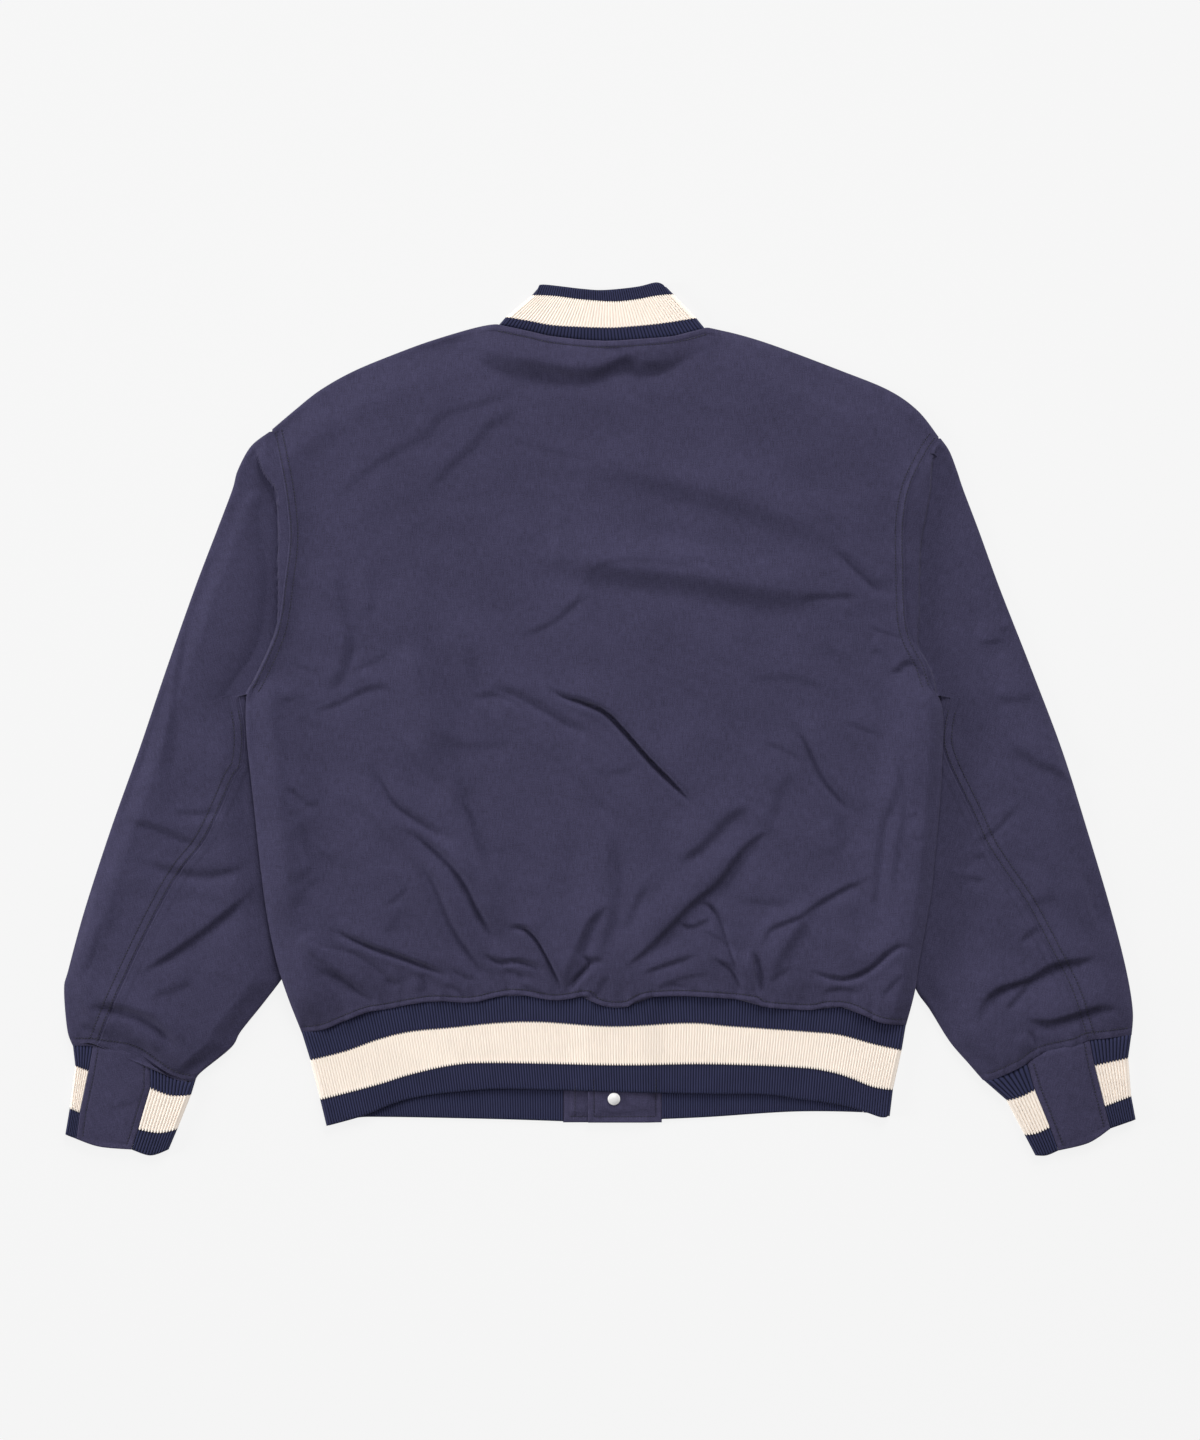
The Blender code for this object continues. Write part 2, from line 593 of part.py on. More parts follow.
def front_panel(side, twill):
    """One front, outer side down, rolled up to the back along the shoulder and the side."""
    if side == "left":
        shoulder_line, neckline, side_line = SHOULDER_LEFT, NECKLINE_LEFT, SIDE_LEFT
        edge, inward = FRONT_EDGE_LEFT, 1
    else:
        shoulder_line, neckline, side_line = SHOULDER_RIGHT, NECKLINE_RIGHT, SIDE_RIGHT
        edge, inward = FRONT_EDGE_RIGHT, -1
    shoulder_curve, neck_curve = Curve(shoulder_line), Curve(neckline)
    neck_share = shoulder_curve.length / (shoulder_curve.length + neck_curve.length)
    top = Chain((shoulder_curve, neck_curve), (neck_share,))
    bottom = Line((side_line[-1], (edge, FRONT_SEAM)))
    side_points = Curve(side_line).points
    trimmed = [(x + inward * FRONT_ARMHOLE_TRIM * (1.0 - side_roll(y)), y) for x, y in side_points[1:]]
    centre_edge = Line((neckline[-1], (edge, FRONT_SEAM)))
    patch = Patch(top, bottom, Line(side_points[:1] + trimmed), centre_edge)
    radius = BODY_EDGE_HEIGHT / 2
    row_count = FRONT_ROWS + len(ROLL_ANGLES)
    outer, inner = [], []
    for k in range(row_count + 1):
        guess = max(k - len(ROLL_ANGLES), 0) / FRONT_ROWS
        width = math.dist(patch.at(0, guess), patch.at(1, guess))
        columns = rolled(width, radius) + [(distance / width, 90) for distance in (radius, *FRONT_EDGE_STEPS)]
        columns += evenly(FRONT_EDGE_STEPS[-1] / width, neck_share, FRONT_SHOULDER_SPANS)
        if side == "left":
            columns += evenly(neck_share, 1.0, FRONT_NECK_SPANS)
        else:
            climb = share_at_x(patch, LAP_START, guess)
            lapped = share_at_x(patch, LAP_START - LAP_RUN, guess)
            for start, end in ((neck_share, climb), (climb, lapped), (lapped, 1.0)):
                columns += evenly(start, end, LAP_SPANS)
        outer_row, inner_row = [], []
        for u, side_angle in columns:
            length = math.dist(patch.at(u, 0), patch.at(u, 1))
            rows = rolled(length, radius) + [(radius / length, 90)]
            rows += evenly(radius / length, 1.0, FRONT_ROWS)
            v, shoulder_angle = rows[k]
            x, y = patch.at(u, v)
            shoulder = smooth((neck_share - u) / SHOULDER_SOFT)
            low = lift(x, y)
            middle = low + BODY_EDGE_HEIGHT / 2
            if side == "right":
                low += lap_height(x, LAP_RISE)
            rolls = ((side_angle, side_roll(y), patch.at(0.5, v)),
                     (shoulder_angle, shoulder, patch.at(u, 0.5)))
            point, upper = roll_point((x, y), rolls, low, middle, CLOTH, -1)
            outer_row.append(point)
            inner_row.append(upper)
        outer.append(outer_row)
        inner.append(inner_row)
    sheet("front_" + side, (twill,), outer, inner)
    first_neck = len(ROLL_ANGLES) + len(FRONT_EDGE_STEPS) + FRONT_SHOULDER_SPANS
    return Line([point[:2] for point in outer[0][first_neck:]])


class Sleeve:
    """Flattened sleeve: rows from the armhole to the cuff, each from the outer to the inner edge."""

    def __init__(self, side, back_edge):
        table = SLEEVES[side]
        outward = -1 if side == "left" else 1
        armhole = [point for point in back_edge[2:] if point[1] > UNDERARM]
        self.armhole_heights = [(y, z) for _, y, z in armhole]
        self.armhole = Line([(x + outward * ARMHOLE_SEAM, y) for x, y, _ in armhole])
        self.inner = Curve((self.armhole.points[-1], *table["inner"]))
        self.outer = Curve(table["outer"])
        self.seam = Curve(table["seam"])
        self.cuff = Curve(table["cuff"])
        self.folds = SLEEVE_FOLDS[side]
        self.rows = [(0, k / ARM_ROWS) for k in range(ARM_ROWS)]
        self.rows += [(1, k / FOREARM_ROWS) for k in range(FOREARM_ROWS + 1)]

    def ends(self, row):
        """Outer and inner edge point of a row."""
        below, t = row
        if below:
            return self.outer.at(lerp(ARMHOLE_SHARE_OUTSIDE, 1.0, t)), self.inner.at(t)
        return self.outer.at(ARMHOLE_SHARE_OUTSIDE * t), self.armhole.at(t)

    def width(self, row):
        return math.dist(*self.ends(row))

    def plan(self, row, share, bent=True):
        """Point across a row. The last rows bend to the line of the cuff's seam."""
        outer, inner = self.ends(row)
        x, y = mix(outer, inner, share)
        if bent and row[0]:
            bend = smooth((row[1] - CUFF_BEND_START) / (1.0 - CUFF_BEND_START))
            straight = mix(self.outer.at(1), self.inner.at(1), share)
            line = self.cuff.at(share)
            x, y = x + bend * (line[0] - straight[0]), y + bend * (line[1] - straight[1])
        return (x, y)

    def armhole_height(self, y):
        """Height of the back's edge at the armhole."""
        heights = self.armhole_heights
        for (y0, z0), (y1, z1) in zip(heights, heights[1:]):
            if y >= y1:
                return lerp(z0, z1, min(max((y0 - y) / (y0 - y1), 0.0), 1.0))
        return heights[-1][1]

    def edge_height(self, row):
        """Height of the folded edges, which meet the thicker cuff at the end."""
        below, t = row
        rise = smooth((t - CUFF_RISE_START) / (1.0 - CUFF_RISE_START))
        return lerp(EDGE_HEIGHT, CUFF_HEIGHT, below * rise)

    def top(self, row, share):
        """Top of the sleeve at a share across a row."""
        width = self.width(row)
        x, y = self.plan(row, share)
        from_outer, from_inner = share * width, (1 - share) * width
        puff, fade = smooth(from_outer / SLEEVE_PUFF_REACH), smooth(from_outer / FOLD_FADE)
        if row[0]:
            puff *= smooth((from_inner - HIDDEN_STRIP) / SLEEVE_PUFF_REACH)
            fade *= smooth((from_inner - HIDDEN_STRIP) / FOLD_FADE)
        height = self.edge_height(row) + fade * fold_height(x, y, self.folds)
        height += max(EDGE_HEIGHT + SLEEVE_PUFF - self.edge_height(row), 0.0) * puff
        if row == (1, 0.0) or not row[0]:
            near = 1.0 - smooth((from_inner - ARMHOLE_BLEND[0]) / ARMHOLE_BLEND[1])
            height = lerp(height, self.armhole_height(self.ends(row)[1][1]), near)
        return (x, y, height)

    def seam_share(self, row):
        """Where the visible seam crosses a row. Beside the armhole it is the armhole itself."""
        if row == (1, 0.0) or not row[0]:
            return 1.0
        best, best_distance = 1.0, math.inf
        for step in range(101):
            point = self.plan(row, step / 100)
            distance = min(math.dist(point, knot) for knot in self.seam.points)
            if distance < best_distance:
                best, best_distance = step / 100, distance
        return min(best, 1.0 - BACK_SEAM_MARGIN / self.width(row))

    def front_seam_share(self, row):
        """Where the hidden front seam crosses the underside of a row."""
        if row == (1, 0.0) or not row[0]:
            return 1.0
        return lerp(*FRONT_SEAM_SHARES, smooth(row[1] / FRONT_SEAM_TURN))


def shell_row(top, edge, outward, under, high):
    """Row of a folded sheet: its upper points, the half-round fold and the points lying on the table."""
    outer = list(top)
    inner = [(x, y, z - CLOTH) for x, y, z in top]
    bend_outer, bend_inner = fold_points(edge, outward, high, 0.0, CLOTH)
    outer += bend_outer + [(x, y, 0.0) for x, y in under]
    inner += bend_inner + [(x, y, CLOTH) for x, y in under]
    return outer, inner


def sleeve_upper(side, sleeve, twill):
    """Upper sleeve, from its back seam round the outer fold to the front seam underneath."""
    radius = EDGE_HEIGHT / 2
    outer, inner = [], []
    for row in sleeve.rows:
        width = sleeve.width(row)
        start, end = sleeve.seam_share(row), radius / width
        usable = start - end
        shares = [start]
        for distance, most in SEAM_STATIONS:
            shares.append(start - min(distance / width, most * usable))
        shares += [lerp(shares[-1], end, k / SLEEVE_SPANS) for k in range(1, SLEEVE_SPANS)]
        top = [sleeve.top(row, share) for share in shares]
        edge = sleeve.plan(row, 0)
        outward = unit(sleeve.plan(row, 0.3), edge)
        last = sleeve.front_seam_share(row)
        under = [sleeve.plan(row, lerp(end, last, k / 2), bent=False) for k in (1, 2)]
        outer_row, inner_row = shell_row(top, edge, outward, under, sleeve.edge_height(row))
        outer.append(outer_row)
        inner.append(inner_row)
    sheet("sleeve_upper_" + side, (twill,), outer, inner)
    return [point[:2] for point in top[::-1]]


def sleeve_under(side, sleeve, twill):
    """Under sleeve, from the back seam round the inner fold to the front seam underneath."""
    radius = EDGE_HEIGHT / 2
    outer, inner = [], []
    for row in sleeve.rows[ARM_ROWS + 1:]:
        width = sleeve.width(row)
        start, end = sleeve.seam_share(row) + SEAM / width, 1.0 - radius / width
        top = [sleeve.top(row, lerp(start, end, k / UNDER_SPANS)) for k in range(UNDER_SPANS)]
        edge = sleeve.plan(row, 1)
        outward = unit(sleeve.plan(row, 0.8), edge)
        last = sleeve.front_seam_share(row) + SEAM / width
        under = [sleeve.plan(row, last, bent=False)]
        outer_row, inner_row = shell_row(top, edge, outward, under, sleeve.edge_height(row))
        outer.append(outer_row)
        inner.append(inner_row)
    sheet("sleeve_under_" + side, (twill,), outer, inner)
    return [point[:2] for point in top]


def ribbed(index, height):
    """Height of a rib or of the groove beside it."""
    return height - RIB_GROOVE * (index % 2)


def cuff(side, sleeve, sleeve_edge, rib_materials, twill):
    """Striped rib cuff, folded flat, with its cloth insert on the upper side."""
    radius = CUFF_HEIGHT / 2
    chord = unit(sleeve.outer.at(1), sleeve.inner.at(1))
    away = (chord[1] * CUFF_SEAM, -chord[0] * CUFF_SEAM)
    if side == "right":
        away = (-away[0], -away[1])
    insert_start, insert_end = SLEEVES[side]["insert"]

    def seam_point(share):
        point = sleeve_edge.at(share)
        return (point[0] + away[0], point[1] + away[1])

    def seam_points(start, end, spans):
        return [seam_point(lerp(start, end, k / spans)) for k in range(spans + 1)]

    lines = []
    corner_outer, corner_inner = seam_point(0), seam_point(1)
    inner_points = seam_points(insert_end, 1.0, CUFF_SPANS_INNER)
    outer_points = seam_points(insert_start, 0.0, CUFF_SPANS_OUTER)
    lines.append((Line(inner_points), Line(outer_points), corner_inner, corner_outer))
    for outer_fold, outer_edge, inner_edge, middle, inner_fold in CUFFS[side]:
        lines.append((Curve((inner_edge, middle, inner_fold)), Line((outer_edge, outer_fold)),
                      inner_fold, outer_fold))
    outer, inner = [], []
    for inner_line, outer_line, inner_fold, outer_fold in lines:
        outer_row, inner_row = [], []
        end = 1.0 - radius / inner_line.length
        for k in range(2 * CUFF_RIBS_INNER):
            x, y = inner_line.at(end * k / (2 * CUFF_RIBS_INNER))
            outer_row.append((x, y, ribbed(k, CUFF_HEIGHT)))
            inner_row.append((x, y, CUFF_HEIGHT - RIB))
        outward = unit(inner_line.at(0.6), inner_line.at(1))
        bend_outer, bend_inner = fold_points(inner_fold, outward, CUFF_HEIGHT, 0.0, RIB)
        outer_row += bend_outer
        inner_row += bend_inner
        x, y = mix(inner_fold, outer_fold, 0.5)
        outer_row.append((x, y, 0.0))
        inner_row.append((x, y, RIB))
        outward = unit(outer_line.at(0.2), outer_line.at(1))
        bend_outer, bend_inner = fold_points(outer_fold, outward, CUFF_HEIGHT, 0.0, RIB)
        outer_row += bend_outer[::-1]
        inner_row += bend_inner[::-1]
        end = 1.0 - radius / outer_line.length
        for k in reversed(range(2 * CUFF_RIBS_OUTER)):
            x, y = outer_line.at(end * k / (2 * CUFF_RIBS_OUTER))
            outer_row.append((x, y, ribbed(k, CUFF_HEIGHT)))
            inner_row.append((x, y, CUFF_HEIGHT - RIB))
        outer.append(outer_row)
        inner.append(inner_row)
    sheet("cuff_rib_" + side, rib_materials, outer, inner, bands=STRIPES)

    insert_lines = [Line(seam_points(insert_start, insert_end, INSERT_SPANS))]
    for _, outer_edge, inner_edge, _, _ in CUFFS[side][:-1]:
        insert_lines.append(Line((outer_edge, inner_edge)))
    _, outer_edge, inner_edge, _, _ = CUFFS[side][-1]
    insert_lines.append(Curve((outer_edge, INSERT_FREE_MIDDLE[side], inner_edge)))
    outer = []
    for line in insert_lines:
        trim = SEAM / line.length
        places = [line.at(lerp(trim, 1 - trim, k / INSERT_SPANS)) for k in range(INSERT_SPANS + 1)]
        outer.append([(x, y, CUFF_HEIGHT) for x, y in places])
    inner = [[(x, y, z - HEM_END) for x, y, z in row] for row in outer]
    sheet("cuff_insert_" + side, (twill,), outer, inner)


def folded_band(name, materials, back_lines, front_left, front_right, height, rise, ribs):
    """Striped band round the body: its ribbed back, a fold on each side and its two plain fronts.

    Each list of lines has one line for each row, from the seam to the free edge. Front lines run
    from the fold to the opening.
    """
    radius = height / 2
    spans = BAND_FRONT_SPANS
    inner_at = [mark for mark in back_lines[0].marks if BAND_END < mark < 1.0 - BAND_END]
    outer, inner = [], []
    for back, left, right in zip(back_lines, front_left, front_right):
        edge_left, edge_right = back.at(0), back.at(1)
        start, end = radius / back.length, 1.0 - radius / back.length
        outward = unit(back.at(BAND_END), edge_left)
        left_outer, left_inner = fold_points(edge_left, outward, height, 0.0, RIB)
        outward = unit(back.at(1.0 - BAND_END), edge_right)
        right_outer, right_inner = fold_points(edge_right, outward, height, 0.0, RIB)
        front = [left.at(lerp(1.0, radius / left.length, k / spans)) for k in range(spans)]
        outer_row = [(x, y, 0.0) for x, y in front] + left_outer[::-1]
        inner_row = [(x, y, RIB) for x, y in front] + left_inner[::-1]
        for k in range(1, 2 * ribs):
            x, y = back.at(lerp(start, end, k / (2 * ribs)))
            outer_row.append((x, y, ribbed(k, height + rise * over_lap(x))))
        for share in inner_at:
            x, y = back.at(lerp(start, end, share))
            inner_row.append((x, y, height + rise * over_lap(x) - RIB))
        front = [right.at(lerp(radius / right.length, 1.0, (k + 1) / spans)) for k in range(spans)]
        outer_row += right_outer + [(x, y, 0.0) for x, y in front]
        inner_row += right_inner + [(x, y, RIB) for x, y in front]
        outer.append(outer_row)
        inner.append(inner_row)
    ends = list(range(spans + len(FOLD_ANGLES)))
    first, last = ends[-1], ends[-1] + 1
    outer_at = ends + [first + k / (2 * ribs) for k in range(1, 2 * ribs)]
    inner_columns = ends + [first + share for share in inner_at]
    tail = [last + k for k in ends]
    sheet(name, materials, outer, inner, outer_at + tail, inner_columns + tail, STRIPES)


def hem_rib(back, rib_materials):
    """Striped rib hem, whose back hangs from the back and whose fronts end at the cloth ends."""
    seam = Line([(x, y - HEM_SEAM_GAP) for x, y in back["hem"].points])
    back_lines = [seam, Curve(HEM_UPPER_STRIPE), Curve(HEM_LOWER_STRIPE), Curve(HEM_BACK_EDGE)]
    fronts = []
    for at, side, free_edge, end in ((0, "left", HEM_FRONT_LEFT, HEM_END_LEFT),
                                     (1, "right", HEM_FRONT_RIGHT, HEM_END_RIGHT)):
        seam_end = (end, front_seam(end, side) - SEAM)
        lines = [Line((seam.at(at), seam_end))]
        for line, share in zip(back_lines[1:], HEM_STRIPE_SHARES):
            lines.append(Line((line.at(at), mix(seam_end, free_edge[-1], share))))
        lines.append(Curve(free_edge))
        fronts.append(lines)
    folded_band("hem_rib", rib_materials, back_lines, *fronts, HEM_HEIGHT, HEM_LAP_RISE, HEM_RIBS)


def hem_ends(twill):
    """Cloth ends of the hem, the right one lapped over the left one."""
    for side, start, end in (("left", HEM_END_LEFT + SEAM, FRONT_EDGE_LEFT),
                             ("right", HEM_END_RIGHT - SEAM, FRONT_EDGE_RIGHT)):
        columns = [start, end]
        if side == "right":
            columns = [start, LAP_START, LAP_START - LAP_RUN / 2, LAP_START - LAP_RUN, end]
        rows = []
        for share in (0.0, 1.0):
            row = []
            for x in columns:
                height = lap_height(x, HEM_END + SEAM) if side == "right" else 0.0
                row.append((x, lerp(front_seam(x, side) - SEAM, HEM_END_LOW, share), height))
            rows.append(row)
        upper = [[(x, y, z + HEM_END) for x, y, z in row] for row in rows]
        sheet("hem_end_" + side, (twill,), upper, rows)


def collar_rib(back, necklines, rib_materials):
    """Striped rib collar, whose back stands up from the neck and whose fronts lie under it."""
    seam = Line([(x, y + SEAM) for x, y in back["neck"].points])
    back_lines = [seam, Curve(COLLAR_LOWER_STRIPE), Curve(COLLAR_UPPER_STRIPE), Curve(COLLAR_TOP)]
    fronts = []
    for at, sign, neckline in ((0, 1, necklines[0]), (1, -1, necklines[1])):
        opening = COLLAR_FRONT_X - sign * SEAM / 2
        low = Line([(x + sign * COLLAR_INSET[0], y + COLLAR_INSET[1]) for x, y in neckline.points])
        reach = max(share / 100 for share in range(101) if (low.at(share / 100)[0] - opening) * sign < 0)
        low_points = [low.at(reach * k / COLLAR_FRONT_STEPS) for k in range(COLLAR_FRONT_STEPS)]
        low = Line([*low_points, (opening, COLLAR_FRONT_LOW + COLLAR_INSET[1])])
        corner = back_lines[-1].at(at)
        dip = [(lerp(corner[0], opening, share), y) for share, y in COLLAR_FRONT_DIP]
        top = Curve((corner, *dip, (opening, COLLAR_FRONT_TOP)))
        lines = []
        for line, share in zip(back_lines, COLLAR_ROW_SHARE):
            fold, start = line.at(at), mix(low.at(0), top.at(0), share)
            points = []
            for k in range(COLLAR_FRONT_STEPS + 1):
                t = k / COLLAR_FRONT_STEPS
                x, y = mix(low.at(t), top.at(t), share)
                keep = (1 - t) ** 3
                points.append((x + keep * (fold[0] - start[0]), y + keep * (fold[1] - start[1])))
            lines.append(Line(points))
        fronts.append(lines)
    folded_band("collar_rib", rib_materials, back_lines, *fronts, COLLAR_HEIGHT, 0.0, COLLAR_RIBS)


def snap(index, steel):
    """One snap cap, domed where it shows and flat between the layers."""
    shows = index == SNAP_COUNT - 1
    sides = SNAP_SIDES if shows else SNAP_SIDES_HIDDEN
    seat = SEAM + (2 * HEM_END + SEAM if shows else LAP_RISE + CLOTH)
    centre = (SNAP_X, SNAP_TOP - index * SNAP_PITCH)
    profile = [(SNAP_RADIUS, 0.0), (SNAP_RADIUS, SNAP_RIM)]
    if shows:
        for angle in SNAP_DOME_ANGLES:
            turn = math.radians(angle)
            profile.append((SNAP_RADIUS * math.cos(turn), lerp(SNAP_RIM, SNAP_DOME, math.sin(turn))))
    else:
        profile.append((SNAP_RADIUS - SNAP_CHAMFER, SNAP_FLAT))
    mesh = bmesh.new()
    rings = []
    for reach, height in profile:
        ring = []
        for k in range(sides):
            turn = 2 * math.pi * k / sides
            x, y = centre[0] + reach * math.cos(turn), centre[1] + reach * math.sin(turn)
            ring.append(mesh.verts.new(in_metres((x, y, seat + height))))
        rings.append(ring)
    for low, high in zip(rings, rings[1:]):
        for k in range(sides):
            mesh.faces.new((low[k], low[k - 1], high[k - 1], high[k]))
    mesh.faces.new(rings[0])
    if shows:
        tip = mesh.verts.new(in_metres((*centre, seat + SNAP_DOME)))
        for k in range(sides):
            mesh.faces.new((rings[-1][k], rings[-1][k - 1], tip))
    else:
        mesh.faces.new(rings[-1])
    bmesh.ops.recalc_face_normals(mesh, faces=mesh.faces)
    data = bpy.data.meshes.new(f"snap_{index + 1}")
    mesh.to_mesh(data)
    mesh.free()
    data.materials.append(steel)
    data.shade_smooth()
    data.set_sharp_from_angle(angle=SHARP)
    cap = bpy.data.objects.new(f"snap_{index + 1}", data)
    bpy.context.scene.collection.objects.link(cap)


def main():
    for stale in list(bpy.data.objects):
        bpy.data.objects.remove(stale)
    twill = finish("twill", TWILL_COLOUR, 0.9)
    navy = finish("rib_navy", RIB_NAVY_COLOUR, 0.95)
    cream = finish("rib_cream", RIB_CREAM_COLOUR, 0.95)
    steel = finish("snap_white", SNAP_COLOUR, 0.3, 0.2)
    back = back_panel(twill)
    necklines = [front_panel(side, twill) for side in ("left", "right")]
    for side in ("left", "right"):
        sleeve = Sleeve(side, back[side])
        edge = [sleeve.outer.at(1), *sleeve_upper(side, sleeve, twill)]
        edge += [*sleeve_under(side, sleeve, twill), sleeve.inner.at(1)]
        cuff(side, sleeve, Line(edge), (navy, cream), twill)
    collar_rib(back, necklines, (navy, cream))
    hem_rib(back, (navy, cream))
    hem_ends(twill)
    for index in range(SNAP_COUNT):
        snap(index, steel)


main()
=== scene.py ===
"""Looks of a varsity jacket that lies flat on a pale floor with its back up.

Every cloth and knitted piece is a thin shell on the form of its solid: +X is the wearer's right, +Y
points to the collar and +Z up from the floor. Tables are in millimetres, and in_metres turns them
into places of the frame. A crease is a line in plan where the cloth steps down from the side that
faces the light.
"""

import copy
import functools
import math

import bmesh
import bpy
import numpy as np
from bpy.props import FloatProperty, FloatVectorProperty, PointerProperty
from bpy.types import Operator, Panel, PropertyGroup
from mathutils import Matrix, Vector
from mathutils.bvhtree import BVHTree


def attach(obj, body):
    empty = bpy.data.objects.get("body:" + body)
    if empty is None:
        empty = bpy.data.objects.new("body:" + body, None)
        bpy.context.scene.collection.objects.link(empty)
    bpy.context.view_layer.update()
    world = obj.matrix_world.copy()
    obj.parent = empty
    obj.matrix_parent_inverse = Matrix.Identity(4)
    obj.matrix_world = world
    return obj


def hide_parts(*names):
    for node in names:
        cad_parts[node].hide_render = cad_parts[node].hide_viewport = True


bl_info = {
    "name": "Varsity Jacket",
    "version": (1, 0, 0),
    "blender": (4, 5, 0),
    "location": "3D View > Sidebar > Jacket",
    "description": "Cloth, rib knit, stitching and snaps of a varsity jacket laid flat",
    "category": "Add Mesh",
}

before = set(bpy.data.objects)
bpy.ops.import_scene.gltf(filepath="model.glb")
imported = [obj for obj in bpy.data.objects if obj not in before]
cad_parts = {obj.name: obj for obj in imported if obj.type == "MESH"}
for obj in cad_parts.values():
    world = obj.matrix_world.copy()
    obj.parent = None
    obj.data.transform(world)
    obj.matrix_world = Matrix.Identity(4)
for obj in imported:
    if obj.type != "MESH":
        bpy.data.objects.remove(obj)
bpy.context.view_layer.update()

MM = 0.001
MIDDLE = (-0.1, 0.8)    # middle of the jacket's outline in the tables, which the origin lies under

# Walls and heights
CLOTH = 2.0
RIB = 2.6
SEAM = 0.3
TUCK = 0.8                      # how far a band runs on under the cloth that it is sewn to
EDGE_HEIGHT = 4.4               # two layers of cloth at a folded edge of a sleeve
BODY_EDGE_HEIGHT = 4.8          # the same along the body's sides and shoulders
SLEEVE_LIFT = EDGE_HEIGHT + 1.5 # how far the body's side edges ride up on the sleeves
BODY_PUFF = 6.5                 # how much the back swells between its edges
BACK_LAP_RISE = 1.2
LAP_RISE = 2.4
ARMHOLE_RIDGE = 2.4
HEM_END = 2.2
HEM_HEIGHT = 6.2
HEM_LAP_RISE = 1.6
CUFF_HEIGHT = 5.8
COLLAR_HEIGHT = 6.0

# Soft transitions, measured in from an edge
PUFF_REACH = 42.0
SIDE_PUFF_REACH = (30.0, 16.0)   # on the left and on the right side
SLEEVE_PUFF_REACH = 24.0
RIM_DIP = 1.4                   # trough behind the raised rim along the body's left side
RIM_PLACE = 36.0
RIM_WIDTH = 11.0
LIFT_REACH = 40.0
LIFT_MARGIN = 10.0
ROLL = 5.0                      # width of the rounding at a folded edge
FOLD_FADE = 9.0                 # creases die out this near a folded edge
SHOULDER_SOFT = 0.03

# Outline of the body: x, y
SHOULDER_LEFT = ((-302, 268), (-282, 285), (-258, 304), (-226, 322), (-182, 340), (-151, 351),
                 (-113, 362), (-95, 364))
SHOULDER_RIGHT = ((312, 261), (293, 285), (266, 304), (222, 322), (158, 346), (121, 357), (98, 361))
NECK = ((-95, 364), (-64, 357), (-41, 352), (4, 348), (50, 351), (73, 354), (98, 361))
SIDE_LEFT = ((-302, 268), (-292, 224), (-287, 189), (-286, 163), (-290, 127), (-297, 83), (-315, 41),
             (-324, 25), (-326, 10), (-325, -18), (-319, -74), (-311, -147), (-304, -193), (-294, -235),
             (-275, -288))
SIDE_RIGHT = ((312, 261), (301, 245), (286, 215), (280, 182), (280, 136), (282, 92), (288, 71), (298, 52),
              (305, 30), (313, 18), (316, 0), (315, -37), (313, -74), (308, -129), (304, -166),
              (294, -221), (290, -248), (282, -281))
HEM_SEAM = ((-275, -288), (-255, -285), (-235, -277), (-214, -269), (-195, -266), (-155, -259),
            (-119, -260), (-95, -255), (-75, -253), (-41, -258), (-12, -254), (-5, -260), (8, -264),
            (24, -264), (33, -259), (45, -255), (72, -254), (101, -255), (141, -259), (151, -264),
            (191, -267), (211, -264), (231, -266), (257, -278), (282, -281))
NECKLINE_LEFT = ((-95, 364), (-87, 339), (-64, 310), (-28, 290), (0, 285), (35, 285))
NECKLINE_RIGHT = ((98, 361), (93, 339), (72, 310), (41, 290), (18, 285), (-11, 285))
FRONT_EDGES = {"left": 35.0, "right": -11.0}    # x of the fronts' centre edges
LAP_START = 56.0
LAP_RUN = 14.0
LAP_SHOWS = (-32.0, 62.0)
LAP_SOFT = 24.0
FRONT_SEAM = -285.5             # y where the fronts meet the hem
FRONT_ARMHOLE_TRIM = 3.0
UNDERARM = 20.0
UNDERARM_RUN = 28.0
UNDERARM_MARGIN = 4.0
SIDE_ROLL_RUN = 8.0
LIFT_END = -292.0
LIFT_END_RUN = 36.0

